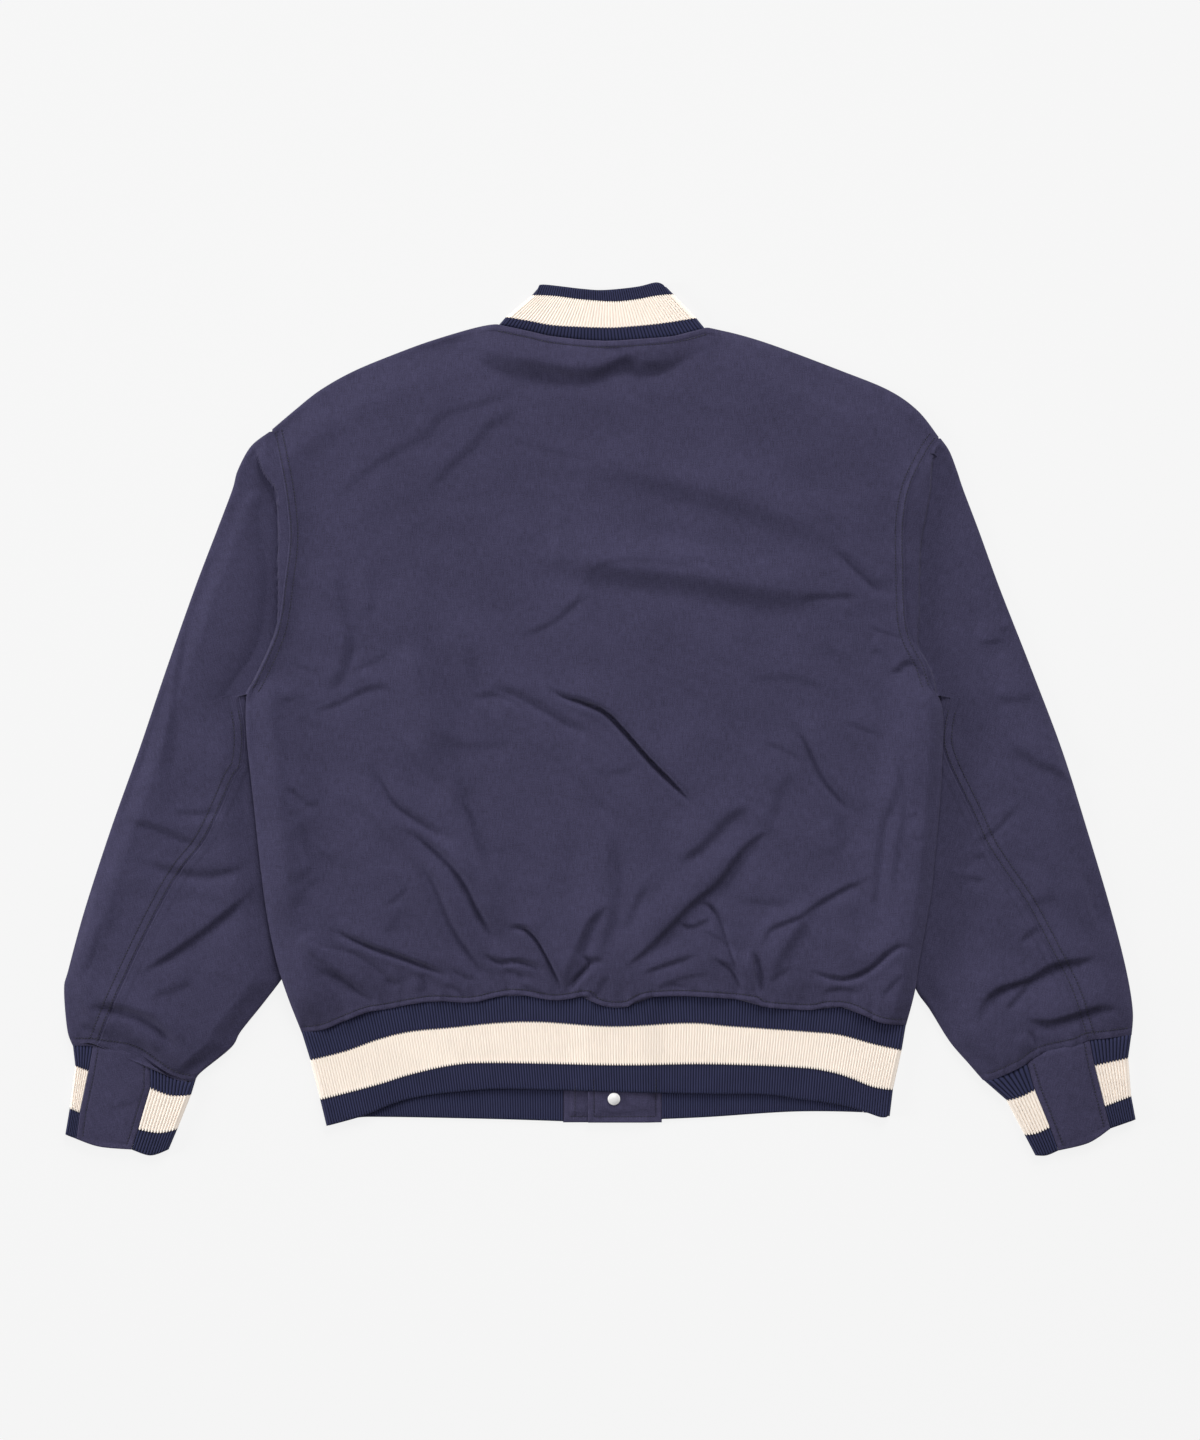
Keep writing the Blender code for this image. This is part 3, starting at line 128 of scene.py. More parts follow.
# Sleeves, each line from the armhole to the cuff
SLEEVES = {
    "left": {
        "outer": ((-305, 265.5), (-322, 252), (-334, 230), (-339, 212), (-353, 175), (-374, 120),
                  (-400, 46), (-425, -28), (-451, -101), (-475, -175), (-490, -230), (-494, -248),
                  (-491, -285), (-486, -300)),
        "inner": ((-317, 0), (-304, -55), (-294, -120), (-287, -184), (-285, -223), (-292, -237),
                  (-311, -262), (-331, -287), (-340, -302), (-368, -325), (-373, -333)),
        "seam": ((-333, 20), (-328, -14), (-331, -44), (-337, -52), (-362, -107), (-390, -145),
                 (-419, -200), (-447, -261), (-463, -300)),
        "cuff": ((-486, -300), (-467, -300), (-454, -302), (-439, -304), (-427, -308), (-413, -317),
                 (-397, -328), (-379, -334), (-373, -333)),
        "overhang": ((-318, 254), (-311, 230), (-298, 211), (-297, 193), (-296, 138), (-298, 83),
                     (-311, 48), (-324, 26), (-319, -10), (-309, -45)),
        "insert": (0.155, 0.62),
        "valley": ((0.7, 2.2, 10.0), (0.65, 2.2, 30.0)),    # share, way down and way up again
        "arm_puff": 6.4,            # how far the upper arm puffs up
        "blend": 60.0,              # strip beside the armhole that takes the height of the body's edge
        "shelter": (0.0, 30.0),     # strip beside the body that stays flat, and the rise beyond it
        "puff": 6.0,
        "grain": 15.0,              # degrees that the sleeve's grain turns from the body's
        "outward": -1,
    },
    "right": {
        "outer": ((314, 259.5), (322, 248), (329, 230), (335, 212), (349, 175), (369, 120), (398, 46),
                  (426, -28), (449, -101), (471, -175), (485, -230), (491, -267), (490, -290)),
        "inner": ((308, 0), (300, -55), (293, -120), (286, -184), (283, -225), (292, -250),
                  (304, -267), (322, -296), (340, -317), (353, -332)),
        "seam": ((322, 20), (316, -6), (318, -32), (342, -84), (355, -113), (370, -137), (393, -171),
                 (415, -213), (432, -247), (448, -296)),
        "cuff": ((490, -290), (466, -293), (449, -295), (437, -300), (407, -307), (390, -318), (378, -324),
                 (362, -331), (353, -332)),
        "overhang": ((314, 258), (306, 238), (304, 210), (299, 182), (295, 157), (294, 120), (294, 92),
                     (293, 67), (300, 55), (309, 30), (307, -10), (301, -45)),
        "insert": (0.27, 0.70),
        "valley": ((0.6, 2.2, 12.0), (0.6, 12.0, 60.0)),
        "arm_puff": 4.2,
        "blend": 26.0,
        "shelter": (20.0, 50.0),
        "puff": 4.5,
        "grain": -15.0,
        "outward": 1,
    },
}
ARMHOLE_SHARE_OUTSIDE = 0.45
FRONT_SEAM_SHARES = (0.9, 0.78)
FRONT_SEAM_TURN = 0.25
BACK_SEAM_MARGIN = 9.0
CUFF_BEND_START = 0.75
CUFF_RISE_START = 0.8
HELD_REACH = 60.0               # strip along the inner edge that the armhole holds for longer or shorter
HELD_SHARES = (0.06, 0.25)      # shares of the forearm over which the hold ends, at and off that edge
UPPER_ARM_END = 0.4             # share of the forearm over which the upper arm's puff changes
CUFF_CALM = 0.16                # share of the forearm over which the puff dies out at the cuff
CUFF_CREASES = 0.25             # share of the creases' height that is left at the cuff's seam
SEAM_HOLD = 1.8                 # how far the sleeve's edge may sink below the body's at the armhole
OVERHANG = 14.0                 # depth of the valley that the sleeve's head hangs over

# Cuffs: a row for each stripe edge and the last for the free edge
CUFFS = {
    "left": (
        ((-483.5, -318.3), (-471.0, -322.9), (-414.0, -338.6), (-395.6, -345.3), (-376.7, -345.0)),
        ((-488.5, -357.0), (-478.9, -360.6), (-425.0, -376.3), (-405.7, -379.5), (-389.2, -376.3)),
        ((-492.7, -381.8), (-482.1, -385.9), (-431.5, -395.6), (-414.0, -401.1), (-397.4, -395.6)),
    ),
    "right": (
        ((486.7, -311.0), (455.4, -317.9), (400.2, -340.4), (387.3, -346.8), (374.4, -350.1)),
        ((489.4, -345.9), (464.6, -355.1), (414.0, -374.4), (402.0, -380.0), (391.0, -381.8)),
        ((493.6, -368.0), (470.1, -376.3), (422.3, -396.5), (411.2, -401.1), (401.1, -401.1)),
    ),
}
INSERT_FREE_MIDDLE = {"left": (-461.0, -393.0), "right": (450.0, -389.5)}
CUFF_RIBS = {"left": (12, 5), "right": (8, 10)}     # beside the insert's inner and outer edge

# Hem
HEM_UPPER_STRIPE = ((-267, -313), (-235, -305), (-204, -294), (-175, -287), (-135, -283), (-95, -279),
                    (-55, -278), (11, -282), (81, -279), (121, -282), (191, -287), (221, -290),
                    (251, -298), (278, -304))
HEM_LOWER_STRIPE = ((-258, -349), (-204, -335), (-175, -326), (-135, -317), (-95, -315), (18, -317),
                    (101, -316), (181, -319), (211, -323), (231, -329), (251, -337), (270, -340))
HEM_BACK_EDGE = ((-252, -374), (-226, -367), (-211, -362), (-189, -353), (-165, -347), (-135, -343),
                 (-95, -340), (-35, -341), (18, -342.5), (101, -344.5), (151, -345), (181, -349),
                 (211, -353), (231, -357), (247, -362), (259, -366), (267, -365))
HEM_FRONT_LEFT = ((-252, -374), (-226, -367), (-195, -366), (-95, -368), (-34, -370))
HEM_FRONT_RIGHT = ((267, -365), (259, -366), (247, -362), (181, -361), (101, -366), (57, -368))
HEM_END_LEFT = -34.0
HEM_END_RIGHT = 57.0
HEM_END_LOW = -371.0
HEM_STRIPE_SHARES = (0.26, 0.54)
HEM_END_SHARES = (0.0, 0.31, 0.72, 1.0)
HEM_RIBS = 216

# Collar
COLLAR_LOWER_STRIPE = ((-87, 371), (-64, 367), (-41, 363), (4, 361), (27, 362), (57, 365), (89, 370))
COLLAR_UPPER_STRIPE = ((-63, 391), (-41, 390), (-18, 387), (12, 385), (34, 387), (50, 390), (68, 392))
COLLAR_TOP = ((-57, 398), (-52, 401), (-16, 397), (4, 396), (34, 399), (52, 403), (61, 399))
COLLAR_FRONT_X = 13.0
COLLAR_FRONT_LOW = 285.5
COLLAR_FRONT_TOP = 334.0
COLLAR_FRONT_DIP = ((0.1, 374), (0.42, 350), (0.75, 338))
COLLAR_ROW_SHARE = (0.0, 0.27, 0.79, 1.0)
COLLAR_INSET = (0.5, 0.8)
COLLAR_RIBS = 58

# Snaps down the lap
SNAP_COUNT = 7
SNAP_TOP = 266.0
SNAP_PITCH = 102.5
SNAP_X = 12.9

# Creases. Kind: width of the wall that falls away from the light, reach of its high side, reach of the
# groove at its foot, the groove's share of the height, the share of the lip beyond the groove, and the
# power that makes the wall steeper near its crest (above 1) or near its foot (below 1)
CREASE_KINDS = {
    "sharp": (4.6, 34.0, 10.0, 0.60, 0.0, 1.0),
    "cut": (3.6, 26.0, 3.2, 0.70, 0.22, 1.0),
    "dip": (8.0, 24.0, 7.0, 0.60, 0.25, 1.0),
    "thin": (3.8, 16.0, 6.0, 0.58, 0.10, 1.0),
    "soft": (9.0, 34.0, 17.0, 0.50, 0.0, 1.0),
    "broad": (26.0, 55.0, 38.0, 0.45, 0.0, 1.0),
    "fold": (24.0, 36.0, 24.0, 0.30, 0.0, 1.4),
    "drape": (18.0, 45.0, 12.0, 0.35, 0.0, 0.6),
}
CREASE_STEP = 5.0               # length of the straight pieces that a crease is measured along
CREASE_TAPER = 0.28             # share of a crease's length over which each end comes to nothing
HIGH_SIDE = (-0.50, 0.87)       # way to the light
BODY_CREASES = (
    (11.0, "drape", ((-147, 346), (-127, 339), (-110, 329), (-92, 322), (-70, 316), (-48, 314),
            (-28, 311), (-7, 311), (11, 315), (26, 320), (41, 317), (57, 319), (72, 326),
            (86, 335), (107, 346))),
    (3.0, "thin", ((-92, 329), (-69, 326), (-48, 320), (-29, 317), (-9, 316), (6, 320), (17, 327),
            (28, 329), (40, 324), (55, 326), (70, 333))),
    (1.6, "thin", ((0, 343), (7, 339), (17, 340), (26, 335))),
    (1.2, "thin", ((31, 339), (39, 333), (48, 337))),
    (2.0, "soft", ((-51, 313), (-87, 296), (-115, 285), (-143, 276), (-156, 259), (-184, 244), (-212, 225),
            (-235, 204), (-253, 186))),
    (2.4, "soft", ((-64, 283), (-87, 274), (-101, 265), (-112, 251), (-127, 237), (-143, 221), (-156, 198))),
    (1.0, "thin", ((-92, 258), (-64, 251), (-37, 244), (-9, 239))),
    (0.9, "thin", ((0, 241), (17, 230), (28, 216))),
    (1.8, "soft", ((-78, 207), (-55, 198), (-46, 175), (-47, 147), (-28, 129))),
    (1.8, "thin", ((-78, 74), (-55, 82), (-37, 92), (-18, 109), (0, 116))),
    (2.2, "broad", ((-276, 230), (-248, 247), (-228, 258))),
    (2.0, "soft", ((-238, 161), (-233, 110), (-228, 74), (-234, 46), (-243, 26), (-247, 11))),
    (1.6, "thin", ((-230, 87), (-229, 64), (-236, 41), (-244, 23))),
    (1.8, "soft", ((-210, 147), (-204, 110), (-215, 87))),
    (6.0, "fold", ((-156, 81), (-147, 53), (-138, 26), (-127, 4), (-112, -17))),
    (2.6, "soft", ((-120, 74), (-110, 28), (-87, 5))),
    (1.0, "thin", ((-292, 55), (-276, 48), (-258, 41))),
    (1.2, "thin", ((-228, 44), (-207, 52), (-191, 63))),
    (2.0, "thin", ((-269, 6), (-253, 9), (-235, 16), (-221, 24), (-202, 29), (-184, 22))),
    (1.4, "thin", ((-294, 17), (-279, 17))),
    (1.2, "thin", ((-278, 2), (-259, -11))),
    (2.0, "thin", ((-292, -62), (-279, -68), (-270, -78), (-256, -81))),
    (2.4, "soft", ((-253, -74), (-235, -78), (-221, -87), (-202, -106), (-184, -127), (-173, -140))),
    (3.6, "soft", ((-272, -87), (-273, -115), (-265, -136), (-278, -158))),
    (1.4, "thin", ((-259, -120), (-248, -129), (-239, -140))),
    (1.8, "soft", ((-248, -147), (-267, -156), (-278, -179))),
    (5.2, "dip", ((-212, -35), (-200, -60), (-189, -78), (-170, -92), (-147, -106), (-129, -119))),
    (7.0, "dip", ((-192, -97), (-166, -110), (-143, -129), (-129, -147), (-115, -175), (-101, -198),
            (-88, -212))),
    (4.6, "dip", ((-172, -121), (-156, -147), (-147, -166), (-138, -189), (-124, -212), (-110, -230),
            (-95, -246))),
    (1.2, "thin", ((-204, -23), (-184, -46), (-167, -66), (-155, -81))),
    (6.0, "cut", ((-250, -192), (-225, -202), (-207, -210), (-189, -216), (-170, -223), (-152, -230),
            (-136, -239))),
    (1.6, "cut", ((-138, -228), (-127, -236), (-114, -241))),
    (1.6, "soft", ((-179, -170), (-186, -189), (-195, -202))),
    (1.2, "thin", ((-173, -152), (-184, -163), (-198, -173))),
    (4.0, "cut", ((-110, -214), (-92, -223), (-78, -222), (-64, -225), (-48, -232))),
    (2.0, "thin", ((-92, -228), (-75, -234), (-64, -239))),
    (5.4, "cut", ((-89, -194), (-71, -191), (-60, -201), (-51, -216), (-41, -235), (-33, -251))),
    (4.6, "sharp", ((12, -168), (-5, -184), (-14, -202), (-23, -225), (-31, -248))),
    (5.2, "cut", ((-7, -218), (-14, -230), (-23, -239), (-29, -251))),
    (3.0, "thin", ((-17, -218), (-7, -222), (4, -220))),
    (3.6, "soft", ((11, -94), (16, -138), (17, -166), (11, -198), (2, -223))),
    (4.4, "soft", ((-256, -191), (-276, -197), (-274, -213), (-259, -232), (-235, -241), (-210, -255))),
    (1.8, "thin", ((-253, -216), (-235, -212), (-216, -220), (-198, -234), (-182, -246))),
    (2.2, "thin", ((-232, -241), (-219, -252), (-208, -261))),
    (2.0, "thin", ((-199, -238), (-184, -244))),
    (1.8, "thin", ((-167, -233), (-162, -243), (-166, -254))),
    (5.4, "soft", ((-133, -48), (-125, -74), (-119, -101), (-111, -127), (-102, -147))),
    (1.8, "soft", ((-94, -115), (-86, -133), (-79, -155))),
    (4.4, "dip", ((-108, 30), (-78, 22), (-51, 8), (-28, -6), (-4, -17))),
    (9.0, "cut", ((-55, 33), (-35, 22), (-14, 16), (5, 7), (23, -11), (46, -37), (72, -63), (94, -86))),
    (2.4, "broad", ((-37, 18), (0, -5), (37, -41), (74, -74))),
    (1.4, "soft", ((37, -46), (14, -52), (-9, -51))),
    (1.2, "soft", ((-74, -90), (-51, -120), (-37, -140))),
    (1.4, "soft", ((-147, -23), (-110, -29), (-74, -20))),
    (5.4, "fold", ((-37, 223), (9, 210), (55, 199), (92, 190), (133, 178), (175, 161), (207, 142),
            (230, 127))),
    (4.4, "dip", ((210, 160), (228, 145), (241, 132), (254, 121), (270, 114))),
    (1.2, "soft", ((184, 202), (210, 177), (225, 152))),
    (8.5, "fold", ((-74, 116), (-37, 125), (0, 121), (46, 116), (92, 109), (133, 101), (170, 96), (207, 98),
            (230, 107))),
    (1.2, "thin", ((-18, 131), (11, 143), (46, 145), (83, 140), (103, 134))),
    (2.0, "thin", ((179, 109), (207, 112), (241, 113))),
    (1.0, "thin", ((60, 151), (92, 145), (129, 136))),
    (3.0, "soft", ((204, 74), (223, 51), (237, 28), (250, 5))),
    (1.8, "soft", ((131, 28), (156, 35), (189, 31), (212, 18))),
    (1.6, "thin", ((225, -2), (241, -9), (258, -17))),
    (1.6, "thin", ((245, 85), (262, 79), (278, 74))),
    (2.6, "thin", ((261, 42), (274, 44), (283, 52), (294, 48), (305, 28))),
    (1.2, "thin", ((247, 64), (262, 60))),
    (5.4, "dip", ((173, 1), (189, -23), (202, -51), (216, -69), (230, -85), (238, -96))),
    (2.2, "soft", ((219, -85), (225, -103), (228, -124))),
    (1.8, "thin", ((149, -22), (170, -29), (186, -41))),
    (1.8, "soft", ((181, -48), (167, -74), (160, -103))),
    (7.0, "sharp", ((169, -103), (153, -106), (138, -116), (124, -133), (110, -152), (92, -166), (78, -179),
            (60, -198), (41, -216), (17, -234))),
    (3.6, "broad", ((147, -120), (110, -161), (83, -189), (46, -221))),
    (4.4, "soft", ((145, -79), (124, -92), (106, -110), (90, -125), (69, -136))),
    (4.4, "thin", ((83, -168), (99, -171), (109, -182), (116, -202), (121, -219), (129, -235), (138, -247))),
    (2.6, "thin", ((70, -186), (83, -192), (98, -186), (105, -181))),
    (1.6, "thin", ((92, -193), (107, -201), (118, -210))),
    (3.8, "thin", ((103, -219), (118, -228), (127, -242), (132, -253))),
    (5.0, "thin", ((142, -210), (144, -235), (146, -256))),
    (2.4, "thin", ((37, -237), (51, -230), (69, -224), (92, -216))),
    (1.2, "thin", ((60, -244), (83, -237), (103, -235))),
    (3.0, "thin", ((141, -216), (152, -205), (158, -194), (175, -186), (186, -182), (198, -173),
            (221, -159), (244, -149), (259, -144))),
    (4.2, "cut", ((188, -230), (212, -237), (230, -238), (248, -230), (262, -217), (276, -208),
            (291, -213))),
    (2.6, "broad", ((230, -244), (258, -232), (281, -221))),
    (4.2, "soft", ((204, -173), (186, -198), (171, -223), (160, -243))),
    (3.4, "soft", ((270, -14), (279, -37), (276, -69), (263, -101), (258, -147), (254, -198))),
    (1.4, "thin", ((283, -75), (293, -85), (281, -92))),
    (1.8, "soft", ((127, -170), (152, -172), (179, -173))),
    (1.2, "thin", ((283, -109), (296, -112))),
    (3.4, "broad", ((-289, -18), (-276, -74), (-270, -129), (-274, -184), (-280, -221))),
    (3.0, "soft", ((281, -46), (283, -83), (276, -129), (272, -175))),
    (2.2, "broad", ((-166, 147), (-147, 110), (-138, 74))),
    (2.0, "broad", ((-74, 184), (-37, 161), (-14, 133))),
    (2.6, "soft", ((-191, -18), (-166, -44), (-136, -74), (-110, -107))),
    (2.0, "soft", ((-74, -18), (-37, -44), (0, -81), (20, -110))),
    (2.4, "soft", ((51, -147), (37, -170), (26, -198))),
    (1.8, "thin", ((-276, -207), (-256, -223), (-230, -244), (-213, -259))),
    (1.6, "thin", ((-147, -244), (-133, -248), (-120, -258))),
    (2.0, "thin", ((-74, -244), (-60, -250), (-46, -258))),
    (1.8, "thin", ((9, -235), (2, -244), (-4, -258))),
    (1.6, "thin", ((51, -251), (63, -244), (83, -248))),
    (1.8, "thin", ((156, -244), (166, -235), (179, -228))),
    (1.6, "thin", ((202, -253), (221, -248), (241, -253))),
    (1.8, "thin", ((258, -258), (269, -244), (281, -232))),
    (2.0, "thin", ((-120, 18), (-99, 22), (-81, 16), (-64, 4))),
    (1.4, "thin", ((-37, 340), (-31, 333), (-23, 329))),
    (1.4, "thin", ((18, 339), (24, 331), (33, 333))),
    (1.4, "thin", ((46, 340), (52, 334), (61, 337))),
)
SLEEVE_CREASES = {
    "left": (
        (2.6, "soft", ((-377, 110), (-381, 64), (-388, 18), (-394, -28), (-396, -74))),
        (3.6, "sharp", ((-440, -92), (-416, -98), (-388, -109), (-362, -121))),
        (2.0, "thin", ((-396, -85), (-373, -87), (-348, -85))),
        (3.2, "dip", ((-431, -127), (-405, -138), (-379, -144), (-350, -144), (-316, -134))),
        (5.0, "sharp", ((-311, -151), (-331, -170), (-363, -196), (-394, -218), (-425, -237))),
        (2.0, "soft", ((-370, -244), (-396, -253), (-416, -258))),
        (2.4, "broad", ((-434, -136), (-437, -166), (-443, -193), (-456, -219), (-486, -248))),
        (2.0, "soft", ((-453, -179), (-462, -212), (-475, -244))),
        (6.4, "dip", ((-473, -267), (-456, -266), (-438, -269), (-418, -276), (-401, -289), (-388, -307))),
        (2.0, "thin", ((-480, -282), (-467, -285), (-456, -294))),
        (1.6, "thin", ((-434, -294), (-421, -300), (-408, -311))),
    ),
    "right": (
        (4.6, "sharp", ((291, 72), (317, 69), (345, 66), (368, 70), (385, 74))),
        (2.2, "thin", ((368, 81), (383, 83))),
        (2.6, "soft", ((313, 4), (345, 7), (357, 4))),
        (3.4, "soft", ((368, -20), (385, -33), (401, -44), (420, -52), (443, -70))),
        (1.8, "thin", ((388, -76), (368, -99), (354, -110), (340, -120))),
        (2.0, "thin", ((317, -127), (331, -131), (359, -124))),
        (2.0, "thin", ((317, -143), (336, -147), (359, -149))),
        (2.0, "soft", ((394, -170), (409, -170), (423, -166))),
        (1.8, "thin", ((385, -207), (396, -198), (407, -189))),
        (2.2, "soft", ((359, 18), (377, 14), (405, 18))),
        (6.0, "sharp", ((467, -217), (446, -223), (419, -228), (396, -241), (373, -248), (357, -259),
                (348, -285))),
        (2.8, "thin", ((396, -244), (383, -258), (374, -270))),
        (5.6, "sharp", ((388, -276), (414, -280), (437, -274), (460, -267), (480, -268))),
        (2.6, "thin", ((394, -285), (403, -304))),
        (2.4, "soft", ((446, -138), (455, -170), (462, -198))),
    ),
}
GATHER_REACH = 15.0             # how far the gathers run from the hem's and the cuffs' seams
GATHER_PITCH = 8.0
GATHER_HEIGHT = 1.1
GATHER_START = 6.0              # beyond this distance from the seam the gathers fade
GATHER_STRETCH = 5.0            # how much longer gathers are than wide

# Soft relief of loose cloth: seed, spacing, height and how much longer its swells are than wide. The
# folded relief has a crest along the middle of each swell.
RELIEF = ((11, 105.0, 2.6, 1.6), (12, 46.0, 1.2, 2.2), (14, 24.0, 0.5, 2.0), (13, 11.0, 0.14, 1.0))
FOLDED_RELIEF = ((41, 74.0, 2.4, 2.6), (42, 40.0, 1.2, 2.4), (43, 21.0, 0.5, 2.0))

# Rows of topstitching, millimetres from their seam or edge
ARMHOLE_ROWS = (2.3, 8.3)
ARMHOLE_SEWN = (0.004, 0.43)    # shares of the body's side line between which they run
SLEEVE_ROWS = (2.0, 8.6)
NECK_ROW = 6.2
HEM_ROW = 5.3
CUFF_ROW = 7.0
TAB_STITCH = 5.6

# Fineness: millimetres from an edge at which a panel's first lines run, and the usual spacing
EDGE_LINES = (0.0, 0.25, 0.7, 1.3, 2.1, 3.1, 4.2, 5.2, 6.2, 7.4, 9.0, 11.0)
WALL_LINES = (0, 4, 8, 11)      # those of them that the plain inner side of a wall has too
CLOTH_SPACING = 2.2
BACK_SPACING = 2.25
BACK_CROWD = 0.25               # how much finer the back's rows are near the hem than in the middle
HIDDEN_SPACING = 9.0
WALL_STRIDE = 12                # inner sides have every twelfth line
BACK_SIZE = (600, 590)          # width and length that the back's lines are counted for
FRONT_SIZE = (300, 600)         # the same for a front
FOREARM = 330.0                 # length of a sleeve below the underarm, for distances from the cuff
ARMHOLE_TOP = 262.0             # y below which the armhole's seam is pressed


def lerp(start, end, share):
    """Value at a share of the way from start to end."""
    return start + (end - start) * share


def smooth(value):
    """Soft step from 0 to 1."""
    value = np.clip(value, 0.0, 1.0)
    return value * value * (3.0 - 2.0 * value)


def fall(value):
    """Soft step from 1 to 0."""
    return 1.0 - smooth(value)


def spread(count):
    """Even shares from 0 to 1."""
    return np.linspace(0.0, 1.0, count)


def plan(points):
    """Points in plan as an array."""
    return np.array([point[:2] for point in points], dtype=float)


class Line:
    """Straight-sided line in plan, read by its share of length."""

    def __init__(self, points):
        self.points = plan(points)
        steps = np.hypot(*np.diff(self.points, axis=0).T)
        reach = np.concatenate(([0.0], np.cumsum(steps)))
        self.length = reach[-1]
        self.marks = reach / reach[-1]

    def at(self, share):
        """Places at shares of the length."""
        return np.stack([np.interp(share, self.marks, self.points[:, axis]) for axis in (0, 1)], axis=-1)

    def part(self, start, end, count=60):
        """Stretch of the line between two shares."""
        return Line(self.at(np.linspace(start, end, count)))

    def beside(self, distance, count=120):
        """Line that runs beside this one, to its left if the distance is positive."""
        places = self.at(spread(count))
        run = np.gradient(places, axis=0)
        run /= np.hypot(run[:, 0], run[:, 1])[:, None]
        return Line(places + distance * np.stack([-run[:, 1], run[:, 0]], axis=1))


class Curve(Line):
    """Smooth line in plan through a few points."""

    STEPS = 12

    def __init__(self, points):
        knots = plan([points[0], *points, points[-1]])
        t = (np.arange(self.STEPS) / self.STEPS)[:, None]
        fine = []
        for a, b, c, d in zip(knots, knots[1:], knots[2:], knots[3:]):
            bend = 2 * b + (c - a) * t + (2 * a - 5 * b + 4 * c - d) * t ** 2
            fine.append(0.5 * (bend + (3 * b - a - 3 * c + d) * t ** 3))
        super().__init__(np.concatenate([*fine, knots[-1:]]))


class Patch:
    """Four-sided sheet in plan between its boundary lines: u runs across, v from top to bottom."""

    def __init__(self, top, bottom, left, right):
        self.top, self.bottom, self.left, self.right = top, bottom, left, right

    def at(self, u, v):
        """Places at shares across and down."""
        u, v = np.broadcast_arrays(u, v)
        top_chord = lerp(self.top.at(0.0), self.top.at(1.0), u[..., None])
        bottom_chord = lerp(self.bottom.at(0.0), self.bottom.at(1.0), u[..., None])
        across = lerp(self.left.at(v), self.right.at(v), u[..., None])
        down = lerp(self.top.at(u), self.bottom.at(u), v[..., None])
        return across + down - lerp(top_chord, bottom_chord, v[..., None])


class Stations:
    """Places of a panel's lines: fine near its edges, even between them or crowded towards the far one."""

    def __init__(self, near, spans, far, crowd=0.0):
        near, far = np.array(near), np.array(far)
        self.strip = near[-1] + far[-1]
        even = np.arange(1, spans) / spans
        even = even * (1.0 + crowd * (1.0 - even))
        beyond = 2 * far[-1] - far[::-1] + near[-1] - far[-1]
        self.near = np.concatenate([near, np.full(spans - 1, near[-1]), beyond])
        self.share = np.concatenate([np.zeros(len(near)), even, np.ones(len(far))])
        inner = [k for k in WALL_LINES if k < len(near)]
        outer = [k for k in WALL_LINES if k < len(far)]
        last = len(self.share) - 1
        between = list(range(len(near) + WALL_STRIDE, len(near) + spans - WALL_STRIDE, WALL_STRIDE))
        self.wall = sorted({*inner, *between, *(last - k for k in outer), 0, last})

    def at(self, length):
        """Distance of each line from the first edge of a panel of some length, along the last axis."""
        return self.near + self.share * (np.asarray(length)[..., None] - self.strip)


class Relief:
    """Soft random relief: seeded heights on a turned and warped lattice, blended between its points."""

    SIZE = 64
    WARP = 0.35

    def __init__(self, seed, spacing, height=1.0, stretch=1.0):
        chance = np.random.default_rng(seed)
        self.heights = chance.uniform(-height, height, (self.SIZE, self.SIZE))
        self.bends = chance.uniform(-self.WARP, self.WARP, (2, self.SIZE, self.SIZE))
        self.turn = chance.uniform(0.3, 1.2)
        self.spacing = spacing
        self.stretch = stretch

    def blend(self, table, across, up):
        """Values of a table blended between its lattice's points."""
        column, row = np.floor(across).astype(int), np.floor(up).astype(int)
        right, top = smooth(across - column), smooth(up - row)
        left_column, right_column = column % self.SIZE, (column + 1) % self.SIZE
        low_row, top_row = row % self.SIZE, (row + 1) % self.SIZE
        low = lerp(table[left_column, low_row], table[right_column, low_row], right)
        high = lerp(table[left_column, top_row], table[right_column, top_row], right)
        return lerp(low, high, top)

    def at(self, x, y):
        """Heights at table places."""
        x, y = np.asarray(x) / self.spacing, np.asarray(y) / self.spacing
        across = x * math.cos(self.turn) + y * math.sin(self.turn)
        up = (y * math.cos(self.turn) - x * math.sin(self.turn)) / self.stretch
        first, second = self.blend(self.bends[0], across, up), self.blend(self.bends[1], across, up)
        return self.blend(self.heights, across + first + 0.5 * second, up + second - 0.5 * first)


def beside_path(x, y, path):
    """Distance from a path, positive on its left, and the share of the path at the nearest point."""
    nearest = np.full(np.shape(x), np.inf)
    side, place = np.ones(np.shape(x)), np.zeros(np.shape(x))
    for k, (start, end) in enumerate(zip(path, path[1:])):
        run = end - start
        along = np.clip(((x - start[0]) * run[0] + (y - start[1]) * run[1]) / (run @ run), 0.0, 1.0)
        away = np.hypot(x - start[0] - along * run[0], y - start[1] - along * run[1])
        turn = run[0] * (y - start[1]) - run[1] * (x - start[0])
        closer = away < nearest
        nearest = np.where(closer, away, nearest)
        side = np.where(closer, np.where(turn < 0, -1.0, 1.0), side)
        place = np.where(closer, (k + along) / (len(path) - 1), place)
    return nearest * side, place


